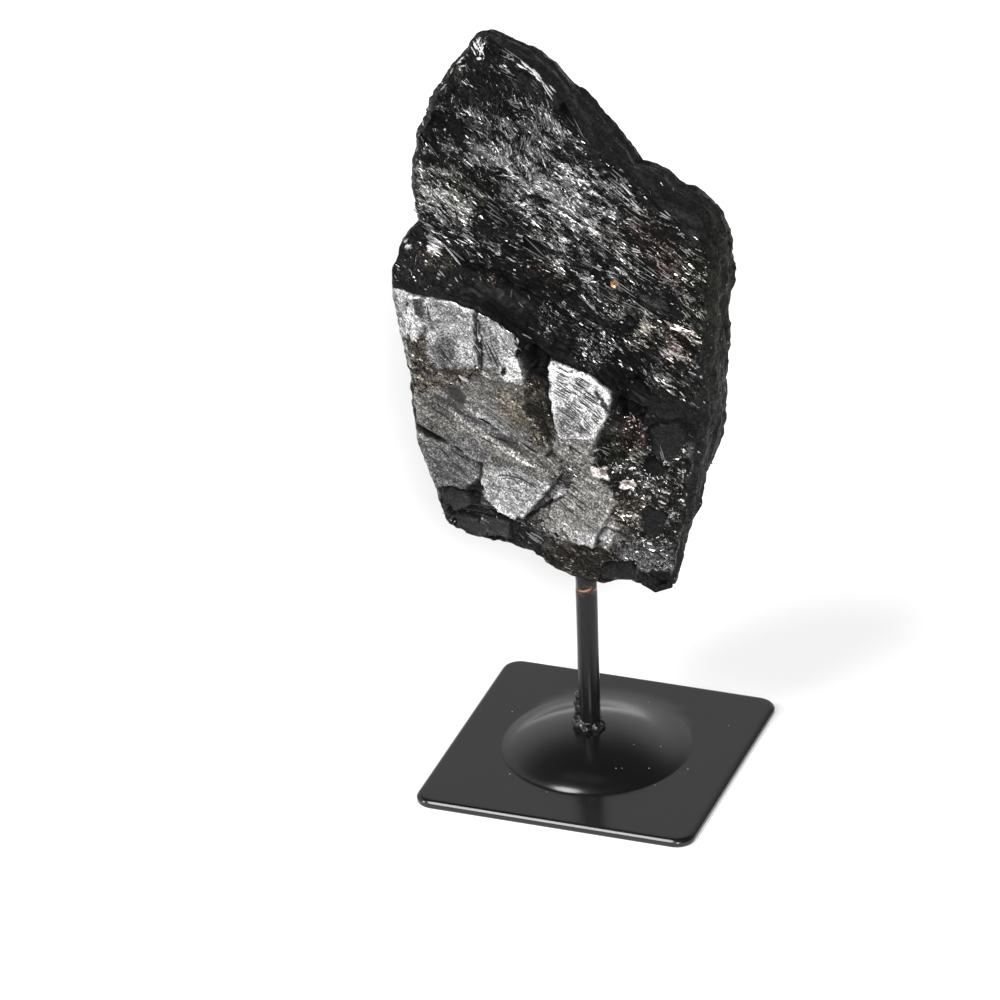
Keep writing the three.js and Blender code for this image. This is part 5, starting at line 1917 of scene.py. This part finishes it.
        half, wide = 0.5 * between(self.length, 2.2), between(self.width, 1.5)
        tall = wide * between(self.rise)
        lean = across * wide * between((-0.45, 0.45))
        base = place - outward * 0.35 * tall
        ridge_low = base + lean + outward * tall * between((0.6, 1.3))
        ridge_high = base + lean + outward * tall * between((0.6, 1.3))
        reach, side = axis * half, across * wide * 0.5
        corners = (
            base - reach - side, base + reach - side, base + reach + side, base - reach + side,
            ridge_low - 0.8 * reach, ridge_high + 0.8 * reach,
        )
        points = np.stack(corners, axis=1).reshape(-1, 3)
        first = 6 * np.arange(count)[:, None]
        quads = np.concatenate([first + [0, 1, 5, 4], first + [2, 3, 4, 5], first + [0, 3, 2, 1]])
        triangles = np.concatenate([first + [0, 4, 3], first + [1, 2, 5]])
        tint = 1.0 + rng.random((count, 1)) * (tint - 1.0)
        return Surface(
            self.name, points, quads, triangles, np.ones(len(quads) + len(triangles), bool),
            Coat.of_blades(len(points)).numbers(np.repeat(shine, 6)), {"tint": np.repeat(tint, 6, axis=0)},
        )


@dataclass
class Strokes:
    """Long single blades and fine cracks that lie on one zone of the stone's front."""

    name: str
    zone: Zone
    strokes: Sequence[Stroke]
    stations: int = 9
    lift: float = 0.06
    toward: tuple[float, float, float] = (0.25, -0.87, 0.42)
    bow_toward: tuple[float, float, float] = (0.5, 0.0, 0.86)

    def surface(self, stone: Tourmaline) -> Surface:
        """All strokes as one surface.

        Each is a slim roof that thins out at both ends. Along it, its middle is the straight line that
        comes nearest to the points of the stone's skin under it, lifted off it a little and bowed. One
        that has a single point under it keeps its own x and z.

        Args:
            stone: the stone, whose skin is made already.

        Returns:
            The surface.
        """
        skin = stone.sheets[self.zone].reshape(-1, 3)
        share = np.linspace(-1.0, 1.0, self.stations)
        powers = np.vander(share, 2)
        fit = powers @ np.linalg.pinv(powers)
        slim = np.sqrt(1.0 - 0.94 * share ** 2)[:, None]
        toward = np.array(self.toward)
        points, shine, tint = [], [], []
        for line, owner in ((line, owner) for owner in self.strokes for line in owner.lines(self.stations)):
            away = np.hypot(line[:, :1] - skin[:, 0], line[:, 1:] - skin[:, 2])
            near = skin[away.argmin(axis=1)]
            middle = fit @ near
            if not np.ptp(near, axis=0).any():
                middle = np.stack([line[:, 0], middle[:, 1], line[:, 1]], axis=1)
            rough = np.std((near - middle) @ toward)
            bow = np.hypot(*(line - np.linspace(line[0], line[-1], self.stations)).T)[:, None]
            middle = middle + toward * (self.lift + 0.6 * rough) + np.array(self.bow_toward) * bow
            side = np.cross(toward, middle[-1] - middle[0])
            luck = float(chance(line[0, 0], line[0, 1], 8))
            side = side / np.linalg.norm(side) * 0.5 * owner.width * (0.7 + 0.6 * luck) * slim
            ridge = middle + 0.2 * side + toward * (0.06 + 0.2 * owner.width * slim)
            points.append(np.stack([middle - side, ridge, middle + side], axis=1).reshape(-1, 3))
            shine.append(np.full(3 * self.stations, owner.shine * (1.15 - 0.6 * luck)))
            tint.append(np.tile(owner.tint.value, (3 * self.stations, 1)))
        quads = grid_quads(closed_grid(self.stations, 3, False).T)
        last = 3 * (self.stations - 1)
        ends = np.array([[0, 1, 2], [last, last + 2, last + 1]])
        starts = 3 * self.stations * np.arange(len(points))[:, None, None]
        every_quad, every_end = (starts + quads).reshape(-1, 4), (starts + ends).reshape(-1, 3)
        everything = np.concatenate(points)
        return Surface(
            self.name, everything, every_quad, every_end, np.ones(len(every_quad) + len(every_end), bool),
            Coat.of_blades(len(everything)).numbers(np.concatenate(shine)), {"tint": np.concatenate(tint)},
        )


# ---------------------------------------------------------------- the stand


@dataclass
class PressedPlate:
    """A square plate with round corners, pressed up into a low hollow dome round the post."""

    side: float = 80.0
    thickness: float = 2.4
    corner_radius: float = 5.2
    least_radius: float = 0.3
    top_round: float = 1.25
    slant: float = 0.42
    slant_rise: float = 42.0
    face_round: float = 0.50
    foot_round: float = 0.70
    sheet: float = 2.0
    dome_radius: float = 25.0
    dome_rise: float = 7.3
    dome_x: float = -0.7
    # Powers of the dome's shape in front and at the back, and y where the one starts and the other ends.
    fullness: float = 2.5
    back_fullness: float = 1.7
    front_fade: tuple[float, float] = (26.0, -20.0)
    brim: float = 0.55
    brim_fullness: float = 32.0
    fillet: float = 0.6
    back_fillet: float = 3.8
    apron: float = 3.0
    hollow_radius: float = 23.5
    hollow_lip: float = 0.25
    post_x: float = -1.7
    post_y: float = -0.4
    hole_radius: float = 3.1
    around: int = 320
    dome_rows: int = 64
    dome_crowding: float = 1.3
    plate_rows: int = 14
    hollow_rows: int = 40

    def dome_height(self, x: Array, y: Array) -> Array:
        """Height of the dome, run out into the plate, softly at the back.

        It is the rise less the brim, times 1 - (radius / reach)^2.5, plus the brim times
        1 - (radius / reach)^32. The brim makes the dome's foot steep, and fades towards the back,
        where the first power falls to 1.7.

        Args:
            x: distance from the plate's middle towards +X.
            y: distance from it towards +Y, to the back.

        Returns:
            The height, which is the formula where that is above zero, plus a quarter of the square of
            the fillet less the formula's size, over the fillet.
        """
        share = np.hypot(x - self.dome_x, y) / self.dome_radius
        front = smoothstep(*self.front_fade, y)
        brim = self.brim * front
        fullness = self.back_fullness + (self.fullness - self.back_fullness) * front
        height = (self.dome_rise - brim) * (1.0 - share ** fullness)
        height = height + brim * (1.0 - share ** self.brim_fullness)
        fillet = self.fillet + self.back_fillet * (1.0 - front)
        return np.maximum(height, 0.0) + 0.25 * np.maximum(0.0, fillet - np.abs(height)) ** 2 / fillet

    def outline(self, inset: float) -> Array:
        """The plate's outline in x and y, drawn in by an inset, at even turns round the middle.

        A round corner is met where the ray at that turn leaves a square with quarter circles.

        Args:
            inset: distance from the outer edge.

        Returns:
            One point a row.
        """
        turn = np.linspace(0.0, 2.0 * np.pi, self.around, endpoint=False)
        half = self.side / 2.0 - inset
        radius = max(self.corner_radius - inset, self.least_radius)
        core = half - radius
        direction = np.stack([np.cos(turn), np.sin(turn)], axis=1)
        major = np.abs(direction).max(axis=1)
        minor = np.abs(direction).min(axis=1)
        straight = half / major
        along = core * (major + minor)
        inner = along ** 2 - 2.0 * core ** 2 + radius ** 2
        bent = along + np.sqrt(np.maximum(inner, 0.0))
        distance = np.where(straight * minor <= core, straight, bent)
        return direction * distance[:, None]

    def edge(self) -> Array:
        """The edge's profile from the top round to the underside, as inset and height.

        It runs down a quarter round that stops at a slant, the slant, a second round to the upright,
        and a quarter round under it. Where the outward direction rises by an angle, the profile goes
        outwards by its sine and down by its cosine.

        Returns:
            One pair a row.
        """
        slant = np.radians(self.slant_rise)
        arcs = ((90.0, self.slant_rise, self.top_round, 7), (self.slant_rise, 0.0, self.face_round, 6),
                (0.0, -90.0, self.foot_round, 6))
        corner = np.zeros(2)
        found = []
        for number, (start, end, radius, count) in enumerate(arcs):
            rise = np.radians(np.linspace(start, end, count))
            outward = np.stack([np.cos(rise), np.sin(rise)], axis=1)
            found.append(corner + radius * (outward - outward[0]))
            corner = found[-1][-1]
            if number == 0:
                corner = corner + self.slant * np.array([np.sin(slant), -np.cos(slant)])
            if number == 1:
                corner = np.array([corner[0], self.foot_round - self.thickness])
        profile = np.concatenate(found)
        widest = profile[:, 0].max()
        return np.stack([widest - profile[:, 0], self.thickness + profile[:, 1]], axis=1)

    def circle(self, centre: tuple[float, float], radius: float) -> Array:
        """A circle in x and y at the outline's turns."""
        turn = np.linspace(0.0, 2.0 * np.pi, self.around, endpoint=False)
        return np.stack([centre[0] + radius * np.cos(turn), centre[1] + radius * np.sin(turn)], axis=1)

    def ring(self, flat: Array, z: Array | float) -> Array:
        """A ring of points from its x and y, and its z."""
        height = np.broadcast_to(z, (len(flat),))
        return np.concatenate([flat, height[:, None]], axis=1)

    def top(self, inner: Array, outer: Array, shares: Array) -> list[Array]:
        """Rings over the dome and the plate.

        Args:
            inner: the outline at share 0, in x and y.
            outer: the outline at share 1, of as many points.
            shares: share of each ring.

        Returns:
            The rings, from the inner one out.
        """
        flats = [inner * (1.0 - share) + outer * share for share in shares]
        heights = [self.thickness + self.dome_height(flat[:, 0], flat[:, 1]) for flat in flats]
        return [self.ring(flat, height) for flat, height in zip(flats, heights)]

    def surface(self) -> Surface:
        """The plate as rings: over the dome, the plate and its edge, and back under both.

        Returns:
            The surface, closed both ways round.
        """
        dome = (self.dome_x, 0.0)
        edge = self.edge()
        hole = self.circle((self.post_x, self.post_y), self.hole_radius)
        foot, outer = self.circle(dome, self.dome_radius + self.apron), self.outline(float(edge[0, 0]))
        shares = 1.0 - (1.0 - np.linspace(0.0, 1.0, self.dome_rows)) ** self.dome_crowding
        rings = self.top(hole, foot, shares)
        rings += self.top(foot, outer, np.linspace(0.0, 1.0, self.plate_rows)[1:-1])
        rings += [self.ring(self.outline(float(inset)), float(height)) for inset, height in edge]
        rim = self.circle(dome, self.hollow_radius)
        rings += [self.ring(rim, 0.0), self.ring(rim, self.hollow_lip)]
        rise = self.thickness + self.dome_rise - self.sheet
        for share in np.linspace(0.0, 1.0, self.hollow_rows)[1:]:
            flat = rim * (1.0 - share) + hole * share
            radius = np.hypot(flat[:, 0] - dome[0], flat[:, 1] - dome[1])
            height = rise * (1.0 - np.minimum(radius / self.hollow_radius, 1.0) ** self.fullness)
            rings.append(self.ring(flat, np.maximum(height, self.hollow_lip)))
        grid = closed_grid(len(rings), self.around, True)
        return Surface("stand_plate", np.concatenate(rings), grid_quads(grid.T))


@dataclass
class Post:
    """A round bar with slightly uneven paint, rougher where it enters the stone."""

    x: float
    y: float
    radius: float = 3.0
    foot_z: float = 6.6
    top_z: float = 84.0
    lump: float = 0.22
    wear: float = 0.04
    lumpy_from: tuple[float, float] = (48.0, 56.0)
    around: int = 96
    rows: int = 220

    def surface(self) -> Surface:
        """Radius times angle and height, with shallow waves and small lumps of paint near the top.

        Returns:
            The surface, with a flat round at each end.
        """
        turn = np.linspace(0.0, 2.0 * np.pi, self.around, endpoint=False)[None]
        z = np.linspace(self.foot_z, self.top_z, self.rows)[:, None]
        lumps = self.lump * wander(turn * self.radius + 40.0, z, ((1.0, 1.6, 81),))
        lumps = lumps * smoothstep(*self.lumpy_from, z)
        waviness = self.wear * wander(turn * 3.0, z, ((1.0, 9.0, 82),))
        worn = self.radius - 0.5 * self.wear + waviness + lumps
        worn = np.minimum(worn, self.radius)
        x, y = self.x + worn * np.cos(turn), self.y + worn * np.sin(turn)
        points = np.stack([x, y, z + 0.0 * turn], axis=-1)
        caps = np.array([[self.x, self.y, self.foot_z], [self.x, self.y, self.top_z]])
        index = closed_grid(self.rows, self.around, False)
        count = self.rows * self.around
        foot, head = index[0], index[-1]
        below = np.stack([foot[1:], foot[:-1], np.full(self.around, count)], axis=1)
        above = np.stack([head[:-1], head[1:], np.full(self.around, count + 1)], axis=1)
        everything = np.concatenate([points.reshape(-1, 3), caps])
        flat = np.zeros(len(grid_quads(index)) + 2 * self.around, bool)
        flat[-2 * self.around:] = True
        return Surface("stand_post", everything, grid_quads(index), np.concatenate([below, above]), flat)


@dataclass
class Weld:
    """A lumpy weld that runs round the foot of the post and climbs its left side."""

    x: float
    y: float
    dome_top: float
    post_radius: float = 3.0
    stoutness: float = 0.62
    sunk: float = 0.4
    passes: int = 5
    foot: float = -0.9
    height: float = 12.6
    around: int = 180
    rows: int = 60
    # Beads of weld: turn round the post in degrees, height over the dome, radius.
    beads: Sequence[tuple[float, float, float]] = (
        (15, 0.2, 1.7), (70, 0.3, 1.8), (128, 0.5, 1.9), (180, 0.9, 2.2), (228, 0.8, 2), (275, 0.3, 1.8),
        (325, 0.2, 1.7), (196, 3.4, 1.8), (208, 5.8, 1.5), (198, 8, 1.4), (206, 10, 1.2),
    )

    def surface(self) -> Surface:
        """Distance from the post as the highest of round beads, over turn and height.

        A bead of radius r stands out by 0.62 of 0.35 r and the root of r^2 less the squared distance
        from its middle. Rows run from the dome up, and back down along the post.

        Returns:
            The surface, closed both ways round.
        """
        turn = np.linspace(0.0, 2.0 * np.pi, self.around, endpoint=False)[None]
        up = np.linspace(0.0, 1.0, self.rows)[:, None] ** 1.2
        height = self.foot + self.height * up
        stand_out = np.full(np.broadcast(turn, height).shape, -0.12)
        for degrees, level, radius in self.beads:
            bend = np.angle(np.exp(1j * (turn - np.radians(degrees))))
            away = ((self.post_radius + 0.6) * bend) ** 2 + (height - level) ** 2
            round_bead = self.stoutness * (0.35 * radius + np.sqrt(np.maximum(0.0, radius ** 2 - away)))
            stand_out = np.where(away < radius ** 2, np.maximum(stand_out, round_bead), stand_out)
        stand_out = soften(stand_out, self.passes)
        ripple = wander(turn * 3.5, height, ((0.50, 0.6, 91), (0.55, 1.5, 92)))
        stand_out = stand_out + ripple * smoothstep(0.0, 0.4, stand_out)
        radius = self.post_radius + stand_out
        outer = np.stack([radius * np.cos(turn), radius * np.sin(turn), height + 0.0 * turn], axis=-1)
        inner = self.post_radius - self.sunk
        sunk = np.stack([inner * np.cos(turn), inner * np.sin(turn), 0.0 * turn], axis=-1)
        top, low = [0.0, 0.0, self.foot + self.height], [0.0, 0.0, self.foot]
        rows = np.concatenate([outer, sunk + top, sunk + low])
        points = rows.reshape(-1, 3) + np.array([self.x, self.y, self.dome_top])
        return Surface("post_weld", points, grid_quads(closed_grid(len(rows), self.around, True)))


@dataclass
class Dust:
    """A few pale flakes that lie on the plate and its dome, each with its x, y and size."""

    plate: PressedPlate
    flakes: Sequence[tuple[float, float, float]] = (
        (-18.5, -19.8, 0.25), (-5.6, -25.8, 0.23), (10.7, -14.8, 0.29), (12.1, -14, 0.22),
        (12.2, -3.9, 0.22), (18.5, -9.8, 0.3), (21.5, -13.8, 0.22), (18.4, 0.7, 0.24),
        (27.5, -3.2, 0.26), (-29, 12, 0.22), (6, 27, 0.22), (-12, 17, 0.23), (31, 22, 0.2),
    )

    def surface(self) -> Surface:
        """Flat six-pointed crumbs of eight sides, half sunk in the paint.

        Returns:
            The surface.
        """
        x, y, size = np.array(self.flakes).T
        height = self.plate.thickness + self.plate.dome_height(x, y)
        rim = [[1, 0, 0], [0.2, 0.8, 0], [-0.9, 0.1, 0], [-0.1, -0.6, 0]]
        corners = np.array([*rim, [0, 0, 0.7], [0, 0, -0.7]])
        turn = 2.0 * np.pi * chance(x, y, 6)
        cosine, sine = np.cos(turn)[:, None], np.sin(turn)[:, None]
        across = corners[:, 0] * cosine - corners[:, 1] * sine
        up = corners[:, 0] * sine + corners[:, 1] * cosine
        spread = np.stack([across, up, np.broadcast_to(corners[:, 2], across.shape)], axis=-1)
        points = np.stack([x, y, height], axis=1)[:, None] + spread * size[:, None, None]
        around = np.array([0, 1, 2, 3])
        after = np.roll(around, -1)
        faces = np.concatenate([
            np.stack([around, after, np.full(4, 4)], axis=1),
            np.stack([after, around, np.full(4, 5)], axis=1),
        ])
        everything = (6 * np.arange(len(x))[:, None, None] + faces).reshape(-1, 3)
        none = np.zeros((0, 4), int)
        flat = np.ones(len(everything), bool)
        return Surface("stand_dust", points.reshape(-1, 3), none, everything, flat)


# ---------------------------------------------------------------- the studio


def far_direction(turn: float, height: float) -> Array:
    """The direction at a turn from straight in front towards the right, and a height angle, in degrees."""
    turn, height = np.radians(turn), np.radians(height)
    return np.array([np.sin(turn) * np.cos(height), -np.cos(turn) * np.cos(height), np.sin(height)])


@dataclass(frozen=True)
class Lamp:
    """A far round lamp: its turn from straight in front towards the right and its height angle, the
    angle that it spans, all in degrees, and its strength in watts a square metre."""

    name: str
    turn: float
    height: float
    span: float
    strength: float

    def place(self) -> None:
        """Adds the lamp to the scene."""
        lamp = bpy.data.lights.new(self.name, "SUN")
        lamp.angle = np.radians(self.span)
        lamp.energy = self.strength
        thing = bpy.data.objects.new(self.name, lamp)
        away = Vector(far_direction(self.turn, self.height))
        thing.location = away
        thing.rotation_euler = away.to_track_quat("Z", "Y").to_euler()
        bpy.context.scene.collection.objects.link(thing)


@dataclass(frozen=True)
class Viewpoint:
    """The camera: its turn, height angle and roll in degrees, and its place and lens."""

    turn: float = 20.35
    height: float = 29.40
    roll: float = -1.84
    distance: float = 2436.16
    side_shift: float = -26.8
    up_shift: float = 70.56
    focal_pixels: float = 8833.0
    image_pixels: float = 1000.0
    sensor: float = 36.0
    nearest: float = 0.1
    farthest: float = 50.0

    def place(self, middle: Vector) -> None:
        """Adds the camera, which looks along its own -Z from its place over the plate's middle.

        Args:
            middle: the middle of the plate's underside, in metres.
        """
        roll = np.radians(self.roll)
        back = far_direction(self.turn, self.height)
        right = np.cross([0.0, 0.0, 1.0], back)
        right /= np.linalg.norm(right)
        above = np.cross(back, right)
        rolled_right = np.cos(roll) * right + np.sin(roll) * above
        rolled_above = -np.sin(roll) * right + np.cos(roll) * above
        spot = back * self.distance + rolled_right * self.side_shift + rolled_above * self.up_shift
        data = bpy.data.cameras.new("camera")
        data.sensor_width = self.sensor
        data.lens = self.sensor * self.focal_pixels / self.image_pixels
        data.clip_start, data.clip_end = self.nearest, self.farthest
        camera = bpy.data.objects.new("camera", data)
        axes = Matrix(np.stack([rolled_right, rolled_above, back], axis=1).tolist())
        camera.matrix_world = Matrix.Translation(Vector(spot * MM) + middle) @ axes.to_4x4()
        bpy.context.scene.collection.objects.link(camera)
        bpy.context.scene.camera = camera


@dataclass
class Studio:
    """A pale floor, soft lamps and a room that is light up to 30 degrees and dark overhead."""

    floor_side: float = 8.0
    lamps: Sequence[Lamp] = (
        Lamp("front", 25.0, 32.0, 12.0, 4.0),
        Lamp("key", -28.0, 53.0, 24.0, 2.3),
        Lamp("low_left", -62.0, 30.0, 14.0, 0.9),
    )
    # The room's grey from straight down at 0, over the horizon at 0.5, to overhead at 1.
    greys: Sequence[tuple[float, float]] = (
        (0.50, 0.50), (0.66, 0.68), (0.76, 0.66), (0.82, 0.36), (0.90, 0.08), (1.0, 0.02),
    )
    right_dim: float = 0.7

    def floor(self) -> None:
        """Adds the floor, which isn't part of the object."""
        half = self.floor_side / 2.0
        corners = [(-half, -half, 0.0), (half, -half, 0.0), (half, half, 0.0), (-half, half, 0.0)]
        mesh = bpy.data.meshes.new("floor")
        mesh.from_pydata(corners, [], [(0, 1, 2, 3)])
        floor = bpy.data.objects.new("floor", mesh)
        bpy.context.scene.collection.objects.link(floor)
        mesh.materials.append(FloorFinish().make())

    def room(self) -> None:
        """Sets the light of the room: lightest over the horizon, dim overhead and towards the right."""
        world = bpy.data.worlds.new("room")
        world.use_nodes = True
        bpy.context.scene.world = world
        board = Board(world.node_tree)
        direction = board.wire("ShaderNodeTexCoord", output="Generated")
        parts = board.add("ShaderNodeSeparateXYZ", None, {0: direction})
        right, rise = Wire(board, parts.outputs[0]), Wire(board, parts.outputs[2])
        stops = [(place, (grey,) * 3) for place, grey in self.greys]
        ramp = board.wire("ShaderNodeValToRGB", {"stops": stops}, {0: 0.5 + 0.5 * rise})
        light = board.scaled(ramp, 1.0 - self.right_dim * right.step(0.1, 0.7))
        sky = board.wire("ShaderNodeBackground", None, {"Color": light, "Strength": 1.0})
        board.add("ShaderNodeOutputWorld", None, {"Surface": sky})

    def build(self, middle: Vector) -> None:
        """Builds everything round the object.

        Args:
            middle: the middle of the plate's underside, in metres.
        """
        self.floor()
        self.room()
        for lamp in self.lamps:
            lamp.place()
        Viewpoint().place(middle)
        bpy.context.scene.view_settings.view_transform = "Standard"


# ---------------------------------------------------------------- the whole scene


def dress(surface: Surface, middle: Vector, material: bpy.types.Material, slot: str, *nodes: str) -> None:
    """Makes a surface's object and says what it belongs to.

    Args:
        surface: the surface.
        middle: the middle of the plate's underside, in metres.
        material: its finish.
        slot: the material slot that its finish stands for; not used.
        nodes: the part's solids that it takes the place of.
    """
    piece = surface.make(middle)
    piece.data.materials.append(material)
    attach(piece, BODY)
    if nodes:
        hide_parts(*nodes)
    faces = len(surface.quads) * 2 + (0 if surface.triangles is None else len(surface.triangles))
    LOG.info("%s: %d points, %d triangles", surface.name, len(surface.points), faces)


def main() -> None:
    """Builds the stone, the stand and the studio, in that order."""
    logging.basicConfig(level=logging.INFO, format="%(message)s")
    low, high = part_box("base_plate")
    middle = Vector(((low.x + high.x) / 2.0, (low.y + high.y) / 2.0, 0.0))

    stone = Tourmaline()
    schorl = SchorlFinish(stone.fibre_turn, stone.steep_turn).make()
    dress(stone.skin(), middle, schorl, "tourmaline", "tourmaline")
    fields = (
        Blades("face_blades", Zone.FACE, 20000, (0.6, 3.2), (0.16, 0.44), 0.20, seed=11),
        Blades("face_needles", Zone.FACE, 2600, (1.2, 4.8), (0.12, 0.26), 0.14, seed=17, bundle=5),
        Blades("face_crumbs", Zone.FACE, 10000, (0.30, 0.9), (0.20, 0.46), 0.9, seed=12, lean=0.5),
        Blades("block_blades", Zone.BLOCK, 11000, (0.4, 1.9), (0.16, 0.50), 0.6, seed=13,
               least_glitter=0.16, lean=0.4),
        Blades("ledge_blades", Zone.LEDGE, 3000, (0.4, 2.0), (0.14, 0.40), 0.3, seed=14, margin=1.0),
        Blades("side_blades", Zone.SIDE, 4500, (0.4, 1.5), (0.16, 0.5), 0.25, seed=15,
               rise=(0.1, 0.3), facing=(0.0, 0.0, 0.0), lean=0.1, margin=1.5),
        Blades("back_blades", Zone.BACK, 14000, (0.5, 2.4), (0.16, 0.46), 0.3, seed=16,
               facing=(0.0, 1.2, 0.0)),
        Strokes("face_strokes", Zone.FACE, FACE_STROKES),
        Strokes("ledge_strokes", Zone.LEDGE, LEDGE_STROKES),
        Strokes("block_strokes", Zone.BLOCK, BLOCK_STROKES),
    )
    for blades in fields:
        dress(blades.surface(stone), middle, schorl, "tourmaline")

    plate = PressedPlate()
    dress(plate.surface(), middle, PaintFinish().make(), "plate_paint", "base_plate")
    dress(Dust(plate).surface(), middle, DustFinish().make(), "plate_paint")
    post = Post(plate.post_x, plate.post_y)
    dress(post.surface(), middle, BarFinish().make(), "post_paint", "post")
    weld = Weld(plate.post_x, plate.post_y, plate.thickness + plate.dome_rise)
    dress(weld.surface(), middle, WeldFinish().make(), "weld", "weld_bead")

    Studio().build(middle)


if __name__ == "__main__":
    main()
